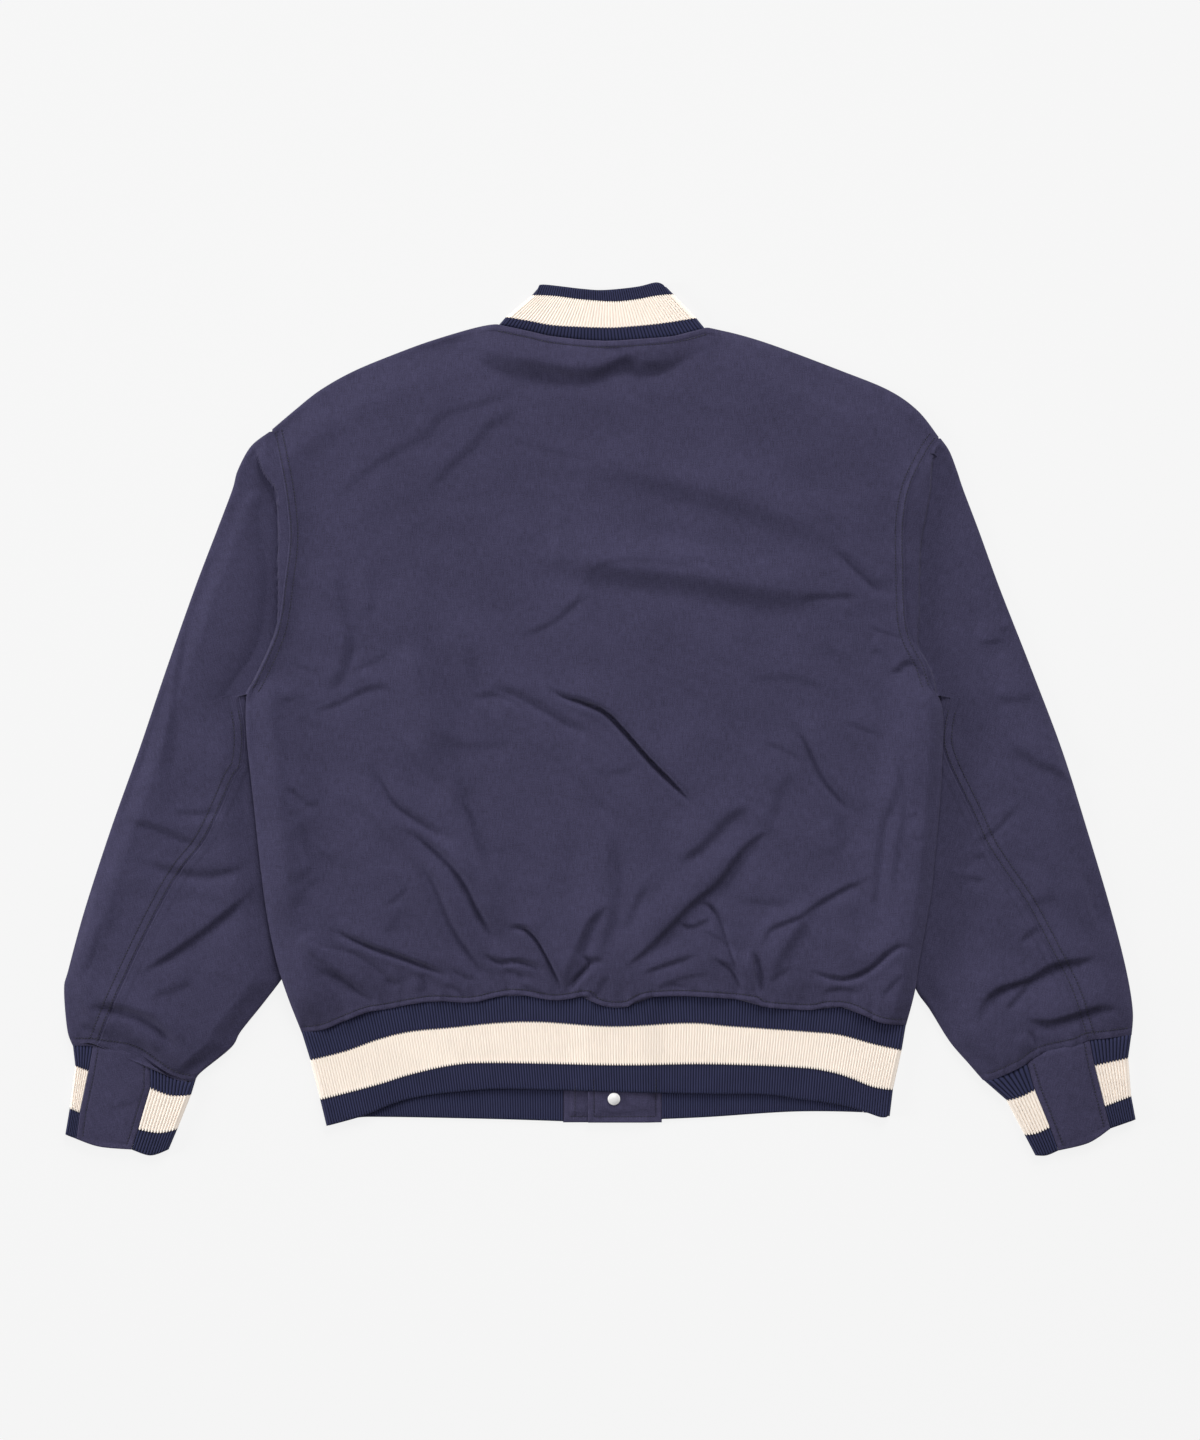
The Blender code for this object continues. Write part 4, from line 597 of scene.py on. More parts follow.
def step_height(x, y, height, kind, knots):
    """Height of one crease at some points."""
    wall, high_reach, low_reach, groove, lip, power = kind
    line = Curve(knots)
    path = line.at(spread(max(int(line.length / CREASE_STEP), 3)))
    reach = wall + max(high_reach, 4.0 * low_reach)
    low, high = path.min(axis=0) - reach, path.max(axis=0) + reach
    near = (x > low[0]) & (x < high[0]) & (y > low[1]) & (y < high[1])
    result = np.zeros(np.shape(x))
    if not near.any():
        return result
    away, place = beside_path(x[near], y[near], path)
    chord = path[-1] - path[0]
    up = away * math.copysign(1.0, chord[0] * HIGH_SIDE[1] - chord[1] * HIGH_SIDE[0])
    climb = smooth(np.clip(up / wall, 0.0, 1.0) ** power)
    bank = (1.0 - groove) * climb * fall((up - wall) / high_reach)
    beyond_lip = smooth((-up - 1.5 * low_reach) / (2.5 * low_reach))
    bank += lip * smooth(-up / (1.5 * low_reach)) * (1.0 - beyond_lip)
    on_wall, at_foot = np.exp(-(up / (0.6 * wall)) ** 2), np.exp(-(np.abs(up) / low_reach) ** 1.4)
    hollow = groove * np.where(up > 0, on_wall, at_foot)
    ends = smooth(np.minimum(place, 1.0 - place) / CREASE_TAPER)
    result[near] = height * ends * (bank - hollow)
    return result


def crease_height(x, y, creases, strength):
    """Sum of the creases at some points."""
    total = np.zeros(np.shape(x))
    for height, kind, knots in creases:
        total += step_height(x, y, height * strength, CREASE_KINDS[kind], knots)
    return total


def soft_relief(x, y):
    """Slight unevenness of cloth that lies loose."""
    crests = sum(row[2] / 2 - np.sqrt(Relief(*row).at(x, y) ** 2 + 0.01) for row in FOLDED_RELIEF)
    return sum(Relief(*row).at(x, y) for row in RELIEF) + crests


def lowest_near(height, reach):
    """Lowest height within some lines of each point of a grid."""
    for axis in (0, 1):
        ends = [(reach, reach) if side == axis else (0, 0) for side in (0, 1)]
        padded = np.pad(height, ends, "edge")
        windows = np.lib.stride_tricks.sliding_window_view(padded, 2 * reach + 1, axis)
        height = windows.min(axis=-1)
    return height


def welt(distance, width=5.2, height=0.5):
    """Pressed seam allowance beside a seam: the seam's groove, the raised strip and its stitched edge."""
    groove = -0.25 * fall(distance / 1.0)
    strip = height * smooth(distance / 1.2) * fall((distance - width) / 1.6)
    return groove + strip - 0.5 * stitch_line(distance, width + 0.2)


def wear_and_light_strip(distance, width):
    """1 on a seam allowance, which is painted paler, partly as wear and partly as painted highlight on its
    raised strip, 0 beyond it.
    """
    return smooth((width + 0.6 - distance) / 1.2)


def stitch_line(distance, *places):
    """1 along rows of stitches, which sink into the cloth, 0 beside them."""
    return sum(np.exp(-((distance - place) / 0.7) ** 2) for place in places)


def gathers(x, distance, seed):
    """Small gathers that run out from a seam."""
    wide = Relief(seed, GATHER_PITCH).at(x, distance / GATHER_STRETCH)
    narrow = Relief(seed + 1, 4.5).at(x, distance / GATHER_STRETCH)
    beyond = np.maximum(distance - GATHER_START, 0.0)
    return GATHER_HEIGHT * (wide * np.exp(-beyond / GATHER_REACH) + 0.7 * narrow * np.exp(-beyond / 5.0))


def on_side(y):
    """0 beside the armhole, 1 along the side below the underarm."""
    return smooth((UNDERARM + UNDERARM_RUN - UNDERARM_MARGIN - y) / UNDERARM_RUN)


def side_roll(y):
    """1 where the body's side is folded, 0 along the armhole."""
    return smooth((UNDERARM + UNDERARM_MARGIN - y) / SIDE_ROLL_RUN)


def hidden_edge(y, side):
    """x of the sleeve's inner fold under the body at a given y."""
    points = plan(SLEEVES[side]["inner"][:5])[::-1]
    return np.interp(y, points[:, 1], points[:, 0])


def lift(x, y):
    """Height of the floor side of the body, which rides up on the sleeves along its sides."""
    inside = np.minimum(x - hidden_edge(y, "left"), hidden_edge(y, "right") - x) - LIFT_MARGIN
    window = on_side(y) * smooth((y - LIFT_END) / LIFT_END_RUN)
    return SLEEVE_LIFT * window * fall(inside / LIFT_REACH)


def over_lap(x):
    """1 where the two fronts lie on each other, soft to both sides."""
    return smooth((x - LAP_SHOWS[0]) / LAP_SOFT) * smooth((LAP_SHOWS[1] - x) / LAP_SOFT)


class Shell:
    """Closed wall between an outer grid of points and a plainer inner one with the same rows.

    inner_at gives the outer column that each inner one lies under.
    """

    def __init__(self, outer, inner, inner_at):
        self.outer, self.inner, self.inner_at = outer, inner, inner_at

    @staticmethod
    def quads(start, rows, columns):
        """Corners of a grid's faces."""
        index = start + np.arange(rows * columns).reshape(rows, columns)
        corners = (index[:-1, :-1], index[:-1, 1:], index[1:, 1:], index[1:, :-1])
        return np.stack(corners, axis=-1).reshape(-1, 4), index

    @staticmethod
    def zip_rim(first, first_at, second, second_at):
        """Faces between two rims, whose points have their own places along it."""
        faces = []
        i = j = 0
        while i < len(first) - 1 or j < len(second) - 1:
            next_first = first_at[i + 1] if i < len(first) - 1 else math.inf
            next_second = second_at[j + 1] if j < len(second) - 1 else math.inf
            if abs(next_first - next_second) < 1e-6:
                faces.append((first[i], first[i + 1], second[j + 1], second[j]))
                i, j = i + 1, j + 1
            elif next_first < next_second:
                faces.append((first[i], first[i + 1], second[j]))
                i += 1
            else:
                faces.append((first[i], second[j + 1], second[j]))
                j += 1
        return faces

    def make(self, name, material, grain=0.0, band=None, inner_band=None, wear_and_painted_light=None):
        """Mesh object of the wall, with its cloth's grain and its band's ribs and stripes as UV maps."""
        outer_faces, outer = self.quads(0, *self.outer.shape[:2])
        inner_faces, inner = self.quads(outer.size, *self.inner.shape[:2])
        faces = outer_faces.tolist() + inner_faces[:, ::-1].tolist()
        rows, columns = np.arange(outer.shape[0]), np.arange(outer.shape[1])
        for row in (0, -1):
            rim = self.zip_rim(outer[row], columns, inner[row], self.inner_at)
            faces += [face[::-1] for face in rim] if row == 0 else rim
        for column in (0, -1):
            rim = self.zip_rim(outer[:, column], rows, inner[:, column], rows)
            faces += rim if column == 0 else [face[::-1] for face in rim]
        points = np.concatenate([self.outer.reshape(-1, 3), self.inner.reshape(-1, 3)])
        turn = math.radians(grain)
        cloth = np.stack([points[:, 0] * math.cos(turn) + points[:, 1] * math.sin(turn),
                          points[:, 1] * math.cos(turn) - points[:, 0] * math.sin(turn)], axis=1) * MM
        maps = {"cloth": cloth}
        if wear_and_painted_light is not None:
            maps["wear_and_painted_light"] = np.concatenate([np.dstack(wear_and_painted_light).reshape(-1, 2), np.zeros((inner.size, 2))])
        if band is not None:
            maps["band"] = np.concatenate([band.reshape(-1, 2), inner_band.reshape(-1, 2)])
        return mesh_piece(name, points, faces, material, maps)


def in_metres(points):
    """Places of table points in the frame."""
    return (np.asarray(points, dtype=float) - (*MIDDLE, 0.0)) * MM


def put_in_scene(name, data):
    """New object of some data."""
    item = bpy.data.objects.new(name, data)
    bpy.context.scene.collection.objects.link(item)
    return item


def mesh_piece(name, points, faces, material, maps=None):
    """Smooth mesh object from table points, with UV maps given point by point."""
    data = bpy.data.meshes.new(name)
    data.from_pydata(in_metres(points).tolist(), [], [tuple(map(int, face)) for face in faces])
    mesh = bmesh.new()
    mesh.from_mesh(data)
    bmesh.ops.recalc_face_normals(mesh, faces=mesh.faces)
    mesh.to_mesh(data)
    mesh.free()
    corners = np.empty(len(data.loops), dtype=int)
    data.loops.foreach_get("vertex_index", corners)
    for map_name, places in (maps or {}).items():
        layer = data.uv_layers.new(name=map_name)
        layer.uv.foreach_set("vector", np.asarray(places, dtype=np.float32)[corners].ravel())
    data.shade_smooth()
    data.set_sharp_from_angle(angle=math.radians(60))
    data.materials.append(material)
    piece = put_in_scene(name, data)
    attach(piece, "root")
    return piece


def stand_for(node):
    """Hide the solid that a piece stands for."""
    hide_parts(node)


# Finishes


class Field:
    """Value that varies over a surface: an output of a shader's nodes that takes part in expressions."""

    def __init__(self, tree, socket):
        self.tree = tree
        self.socket = socket

    def node(self, kind, settings=None, sockets=None, output=0):
        """Output of any node. Settings are set first, then the values or links of its sockets."""
        node = self.tree.nodes.new(kind)
        for name, value in (settings or {}).items():
            setattr(node, name, value)
        for name, value in (sockets or {}).items():
            if isinstance(value, Field):
                self.tree.links.new(value.socket, node.inputs[name])
            else:
                node.inputs[name].default_value = value
        return Field(self.tree, node.outputs[output])

    def math(self, operation, *values):
        """Math node of this field and other values."""
        return self.node("ShaderNodeMath", {"operation": operation}, dict(enumerate((self, *values))))

    def __add__(self, other):
        return self.math("ADD", other)

    __radd__ = __add__

    def __sub__(self, other):
        return self.math("SUBTRACT", other)

    def __rsub__(self, other):
        return (self * -1.0) + other

    def __mul__(self, other):
        return self.math("MULTIPLY", other)

    __rmul__ = __mul__

    def wave(self, length):
        """Wave between 0 and 1 that repeats over a length."""
        return 0.5 + 0.5 * (self * (2 * math.pi / length)).math("COSINE")

    def step(self, start, end):
        """Soft step from 0 at start to 1 at end."""
        sockets = {"Value": self, "From Min": start, "From Max": end}
        return self.node("ShaderNodeMapRange", {"interpolation_type": "SMOOTHSTEP"}, sockets)

    def noise_at(self, place, scale, detail):
        """Noise at places of a vector field."""
        return self.node("ShaderNodeTexNoise", None, {"Vector": place, "Scale": scale, "Detail": detail})

    def noise(self, across, along, scale, detail):
        """Noise over two fields in millimetres."""
        place = self.node("ShaderNodeCombineXYZ", None, {0: across, 1: along})
        return self.noise_at(place, scale, detail)

    def blend(self, first, second):
        """Colour between two, by this field."""
        return self.node("ShaderNodeMix", {"data_type": "RGBA"}, {0: self, 6: first, 7: second}, 2)


def new_finish(name):
    """Empty material, with a field to start expressions from."""
    material = bpy.data.materials.new(name)
    material.use_nodes = True
    return material, Field(material.node_tree, None)


def place_on(start, map_name):
    """The two coordinates of a UV map."""
    places = start.node("ShaderNodeUVMap", {"uv_map": map_name})
    split = start.tree.nodes.new("ShaderNodeSeparateXYZ")
    start.tree.links.new(places.socket, split.inputs[0])
    return Field(start.tree, split.outputs[0]), Field(start.tree, split.outputs[1])


def set_shader(material, fields, fixed):
    """Link fields to a material's shader, and set its even values."""
    shader = material.node_tree.nodes["Principled BSDF"]
    for name, value in fixed.items():
        shader.inputs[name].default_value = value
    for name, field in fields.items():
        material.node_tree.links.new(field.socket, shader.inputs[name])


def shade(colour, factor):
    """Darker or lighter version of a colour."""
    return (*(min(channel * factor, 1.0) for channel in colour), 1.0)


def twill_finish(name, colour):
    """Matte cotton twill: fine diagonal lines, slubs along both threads, mottling, seam strips paler by wear
    and painted highlight, and stitch rows darkened as painted shade.
    """
    material, start = new_finish(name)
    across, along = (1000.0 * value for value in place_on(start, "cloth"))
    wear_and_painted_light, sewn = place_on(start, "wear_and_painted_light")
    warp = start.noise(across * 1.5, along * 0.10, 1.0, 3.0)
    weft = start.noise(across * 0.09, along * 1.7, 1.0, 3.0)
    cloud = start.noise(across, along, 0.02, 3.0)
    grit = start.noise(across, along, 1.0, 3.0)
    patch = start.noise(across, along, 0.16, 2.0)
    twill = (across + along * 1.7).wave(0.9)
    tone = (warp - 0.5) * 1.0 + (weft - 0.5) * 0.6 + (cloud - 0.5) * 0.3 + (grit - 0.5) * 1.3
    tone = (tone + (patch - 0.5) * 0.3 + (twill - 0.5) * 0.06 + 0.5).step(-0.1, 1.1)
    plain = tone.blend(shade(colour, 0.64), shade(colour, 1.38))
    pale_wear_and_highlight = tone.blend(shade(colour, 0.78), shade(colour, 1.52))
    # Seam strips painted paler, partly as wear and partly as painted highlight on the raised strip.
    tone_with_wear_and_highlight = (wear_and_painted_light * (0.35 + patch * 0.9)).blend(plain, pale_wear_and_highlight)
    # Stitch rows painted darker: painted shade where the stitches sink into the cloth.
    base = (sewn * (0.4 + grit * 0.9)).blend(tone_with_wear_and_highlight, shade(colour, 0.38))
    pucker = start.noise(across, along, 0.45, 2.0)
    relief = twill * 0.4 + warp * 0.9 + weft * 0.7 + grit * 1.0 + wear_and_painted_light * pucker * 3.0
    normal = start.node("ShaderNodeBump", None, {"Strength": 0.45, "Distance": 0.0003, "Height": relief})
    set_shader(material, {"Base Color": base, "Roughness": 0.84 + warp * 0.1, "Normal": normal},
               {"Sheen Weight": 0.04, "Sheen Roughness": 0.5, "Specular IOR Level": 0.12})
    return material


def rib_finish(name, navy, cream):
    """Rib knit: navy with one cream stripe, darker in the grooves as painted shade, its stripe's edges
    rounded by the ribs.
    """
    material, start = new_finish(name)
    across, along = (1000.0 * value for value in place_on(start, "cloth"))
    rib, row = place_on(start, "band")
    crest = (rib * math.pi).math("SINE").math("ABSOLUTE")
    groove = 1.0 - crest
    fuzz = start.noise(across, along, 0.9, 3.0)
    tone = start.noise(across, along, 0.05, 2.0)
    uneven = (fuzz - 0.5) * 0.02
    top = (row + uneven - (crest - 0.5) * 0.05).step(0.985, 1.015)
    bottom = (row + uneven - (crest - 0.5) * 0.08).step(1.985, 2.01)
    stripe = top * (1.0 - bottom)
    near_edge = (row - 1.0).math("ABSOLUTE").step(0.09, 0.02)
    near_edge = near_edge + (row - 2.02).math("ABSOLUTE").step(0.1, 0.02)
    light = (0.5 + (fuzz - 0.5) * 0.7 + (tone - 0.5) * 0.4).step(0.0, 1.0)
    dark_yarn = light.blend(shade(navy, 0.80), shade(navy, 1.2))
    pale_yarn = light.blend(shade(cream, 0.97), shade(cream, 1.03))
    # Cream darkened and warmed in the grooves: painted shade.
    cream_with_groove_shade = (groove * 0.75).blend(pale_yarn, (cream[0] * 0.83, cream[1] * 0.79, cream[2] * 0.75, 1.0))
    # Navy darkened in the grooves as painted shade, and darker near the stripe's edges.
    navy_with_groove_shade = (groove + near_edge * 0.35).step(0.0, 1.1).blend(dark_yarn, shade(navy, 0.20))
    base = stripe.blend(navy_with_groove_shade, cream_with_groove_shade)
    normal = start.node("ShaderNodeBump", None, {"Strength": 0.1, "Distance": 0.0003, "Height": fuzz})
    set_shader(material, {"Base Color": base, "Roughness": 0.86 + fuzz * 0.1, "Normal": normal},
               {"Sheen Weight": 0.03, "Sheen Roughness": 0.6, "Specular IOR Level": 0.1})
    return material


def thread_finish(name, colour):
    """Sewing thread, with the twist of its strands."""
    material, start = new_finish(name)
    twist = start.noise_at(start.node("ShaderNodeTexCoord", output=3), 1800.0, 2.0)
    base = twist.step(0.2, 0.8).blend(shade(colour, 0.8), shade(colour, 1.25))
    set_shader(material, {"Base Color": base, "Roughness": 0.6 + twist * 0.2},
               {"Sheen Weight": 0.1, "Specular IOR Level": 0.35})
    return material


def snap_finish(name, colour):
    """Satin white enamel with faint handling marks."""
    material, start = new_finish(name)
    marks = start.noise_at(start.node("ShaderNodeTexCoord", output=3), 900.0, 4.0)
    base = marks.step(0.3, 0.8).blend(shade(colour, 0.94), shade(colour, 1.0))
    set_shader(material, {"Base Color": base, "Roughness": 0.22 + marks * 0.2}, {"Coat Weight": 0.3})
    return material


def finish(kind):
    """Finish of one kind, made when it is first asked for."""
    cloth = bpy.context.scene.jacket_cloth
    if kind in bpy.data.materials:
        return bpy.data.materials[kind]
    makers = {
        "jacket_twill": lambda: twill_finish("jacket_twill", cloth.twill),
        "jacket_rib": lambda: rib_finish("jacket_rib", cloth.navy, cloth.cream),
        "jacket_thread": lambda: thread_finish("jacket_thread", cloth.thread),
        "jacket_snap": lambda: snap_finish("jacket_snap", cloth.snap),
    }
    return makers[kind]()


# Body


def rounding(distance, width=ROLL):
    """Rise of a folded edge's round, from 0 at the edge to 1."""
    return np.sqrt(1.0 - (1.0 - np.clip(distance / width, 0.0, 1.0)) ** 2)


def drawn_in(places, centre, distance, weight=1.0):
    """Shift in plan, towards a centre, of a wall's inner points near a folded edge."""
    way = centre - places
    way = way / np.maximum(np.hypot(way[..., 0], way[..., 1]), 1e-6)[..., None]
    return way * (CLOTH * weight * (1.0 - np.clip(distance / ROLL, 0.0, 1.0)))[..., None]


class BodyPanel:
    """Back or front of the body: its lines in plan, with the distance of each point from each edge."""

    def __init__(self, patch, across, down):
        self.across = across
        guess = spread(len(down.share))
        width = np.hypot(*(patch.at(0.0, guess) - patch.at(1.0, guess)).T)
        self.u = across.at(width) / width[:, None]
        length = np.hypot(*np.moveaxis(patch.at(self.u, 0.0) - patch.at(self.u, 1.0), -1, 0))
        down_at = down.near[:, None] + down.share[:, None] * (length - down.strip)
        self.v = down_at / length
        self.places = patch.at(self.u, self.v)
        self.x, self.y = self.places[..., 0], self.places[..., 1]
        self.from_left, self.from_right = self.u * width[:, None], (1.0 - self.u) * width[:, None]
        self.from_top, self.from_bottom = down_at, length - down_at
        self.row_centre, self.column_centre = patch.at(0.5, self.v), patch.at(self.u, 0.5)

    def wall(self, top, middle, up, side_weight, side_distance, top_weight):
        """Outer and inner points, rolled to the middle plane at the folded edges."""
        rise = 1.0
        shift = np.zeros(self.places.shape)
        for weight, distance, centre in ((side_weight, side_distance, self.row_centre),
                                         (top_weight, self.from_top, self.column_centre)):
            rise = rise * (1.0 - weight * (1.0 - rounding(distance)))
            shift += drawn_in(self.places, centre, distance, weight)
        base = middle + up * SEAM / 2
        below = lowest_near(top, WALL_STRIDE) - CLOTH if up > 0 else top + CLOTH
        outer = np.dstack([self.places, base + (top - base) * rise])
        inner = np.dstack([self.places + shift, base + (below - base) * rise])
        return outer, inner[:, self.across.wall]


def back_height(panel, neck_part, shoulder, strength):
    """Top of the back over its grid of lines."""
    x, y = panel.x, panel.y
    from_side = np.minimum(panel.from_left, panel.from_right)
    side = on_side(y)
    left_rise = smooth(panel.from_left / SIDE_PUFF_REACH[0])
    right_rise = smooth(panel.from_right / SIDE_PUFF_REACH[1])
    near_top = fall(panel.from_top / PUFF_REACH)
    puff = 1.0 - side * (1.0 - np.minimum(left_rise, right_rise))
    puff *= 1.0 - shoulder * near_top
    puff *= 1.0 - 0.5 * neck_part * near_top
    puff *= 1.0 - 0.4 * fall(panel.from_bottom / PUFF_REACH)
    ridge = ARMHOLE_RIDGE * np.exp(-(from_side / 15.0) ** 2) * (1.0 - side)
    ridge = ridge * smooth((ARMHOLE_TOP - y) / 40.0)
    fade = 1.0 - side_roll(y) * fall(from_side / FOLD_FADE)
    fade = fade * (1.0 - shoulder * fall(panel.from_top / FOLD_FADE))
    folds = crease_height(x, y, BODY_CREASES, strength) + soft_relief(x, y)
    rim = RIM_DIP * side * np.exp(-((panel.from_left - RIM_PLACE) / RIM_WIDTH) ** 2)
    height = BODY_EDGE_HEIGHT - rim + lift(x, y) + puff * (BODY_PUFF + BACK_LAP_RISE * over_lap(x)) + ridge
    height = height + fade * folds
    height += (1.0 - side_roll(y)) * smooth((250.0 - y) / 30.0) * welt(from_side)
    height += neck_part * welt(panel.from_top, 5.6)
    return height + (welt(panel.from_bottom, 4.6, 0.3) + gathers(x, panel.from_bottom, 21))


@functools.cache
def back_form(strength):
    """Walls of the back, and the edges that the sleeves, the collar and the hem meet."""
    shoulder_left, neck, shoulder_right = Curve(SHOULDER_LEFT), Curve(NECK), Curve(SHOULDER_RIGHT[::-1])
    top = Line(np.concatenate([shoulder_left.points, neck.points[1:], shoulder_right.points[1:]]))
    neck_start, neck_end = shoulder_left.length / top.length, 1.0 - shoulder_right.length / top.length
    patch = Patch(top, Curve(HEM_SEAM), Curve(SIDE_LEFT), Curve(SIDE_RIGHT))
    across = Stations(EDGE_LINES, int(BACK_SIZE[0] / BACK_SPACING), EDGE_LINES)
    down = Stations(EDGE_LINES, int(BACK_SIZE[1] / BACK_SPACING), EDGE_LINES, BACK_CROWD)
    panel = BodyPanel(patch, across, down)
    shoulder = smooth(np.maximum(neck_start - panel.u, panel.u - neck_end) / SHOULDER_SOFT)
    height = back_height(panel, 1.0 - shoulder, shoulder, strength)
    middle = lift(panel.x, panel.y) + BODY_EDGE_HEIGHT / 2
    from_side = np.minimum(panel.from_left, panel.from_right)
    outer, inner = panel.wall(height, middle, 1, side_roll(panel.y), from_side, shoulder)
    beside_sleeve = (1.0 - side_roll(panel.y)) * smooth((ARMHOLE_TOP - panel.y) / 8.0)
    # Colour maps: the strips along the armhole, the folded sides, the hem and the neck are painted paler,
    # partly as wear and partly as painted highlight; the stitch rows are darkened as painted shade.
    armhole = 0.35 * wear_and_light_strip(from_side, 9.0) * beside_sleeve
    folded = 0.45 * wear_and_light_strip(from_side, 4.5) * side_roll(panel.y)
    sewn = np.maximum(0.8 * wear_and_light_strip(panel.from_bottom, 5.4),
                      0.5 * wear_and_light_strip(panel.from_top, 5.8) * (1.0 - shoulder))
    stitched = 0.4 * stitch_line(from_side, *ARMHOLE_ROWS) * beside_sleeve
    stitched += 0.6 * stitch_line(panel.from_bottom, HEM_ROW)
    stitched += 0.5 * stitch_line(panel.from_top, NECK_ROW) * (1.0 - shoulder)
    return {
        "shell": Shell(outer, inner, across.wall),
        "wear_and_painted_light": (np.maximum(np.maximum(armhole, folded), sewn), stitched),
        "left": outer[:, 0],
        "right": outer[:, -1],
        "hem": outer[-1],
        "neck": outer[0][(panel.u[0] > neck_start) & (panel.u[0] < neck_end)],
    }


def make_back(strength):
    """Back of the body."""
    form = back_form(strength)
    piece = form["shell"].make("back", finish("jacket_twill"), wear_and_painted_light=form["wear_and_painted_light"])
    stand_for("back_panel")


def front_seam(x, side):
    """y where the front's lower edge lies at a given x."""
    corner = SIDE_LEFT[-1] if side == "left" else SIDE_RIGHT[-1]
    return lerp(corner[1], FRONT_SEAM, (x - corner[0]) / (FRONT_EDGES[side] - corner[0]))


def lap_height(x, rise):
    """Height of the right front or its hem end where it lies on the left one."""
    return rise * smooth((LAP_START - x) / LAP_RUN)


def front_lines(side):
    """Upper edge of a front, and the share of it where the neckline starts."""
    left = side == "left"
    shoulder = Curve(SHOULDER_LEFT if left else SHOULDER_RIGHT)
    neckline = Curve(NECKLINE_LEFT if left else NECKLINE_RIGHT)
    top = Line(np.concatenate([shoulder.points, neckline.points[1:]]))
    return top, shoulder.length / top.length


def front_top(side):
    """Neckline of a front."""
    top, neck_share = front_lines(side)
    return top.at(np.linspace(neck_share, 1.0, 40))


def make_front(side):
    """One front, outer side down."""
    side_line, inward = (SIDE_LEFT, 1) if side == "left" else (SIDE_RIGHT, -1)
    top, neck_share = front_lines(side)
    edge_end = (FRONT_EDGES[side], FRONT_SEAM)
    trimmed_side = Curve(side_line).points
    trimmed_side[1:, 0] += inward * FRONT_ARMHOLE_TRIM * (1.0 - side_roll(trimmed_side[1:, 1]))
    patch = Patch(top, Line((side_line[-1], edge_end)), Line(trimmed_side), Line((top.at(1.0), edge_end)))
    far_lines = EDGE_LINES[:1] + EDGE_LINES[4::3]
    across, down = (Stations(EDGE_LINES, int(size / HIDDEN_SPACING), far_lines) for size in FRONT_SIZE)
    panel = BodyPanel(patch, across, down)
    shoulder = smooth((neck_share - panel.u) / SHOULDER_SOFT)
    low = lift(panel.x, panel.y)
    middle = low + BODY_EDGE_HEIGHT / 2
    if side == "right":
        low = low + lap_height(panel.x, LAP_RISE)
    outer, inner = panel.wall(low, middle, -1, side_roll(panel.y), panel.from_left, shoulder)
    piece = Shell(outer, inner, across.wall).make("body_front_" + side, finish("jacket_twill"))
    stand_for("front_" + side)


# Sleeves


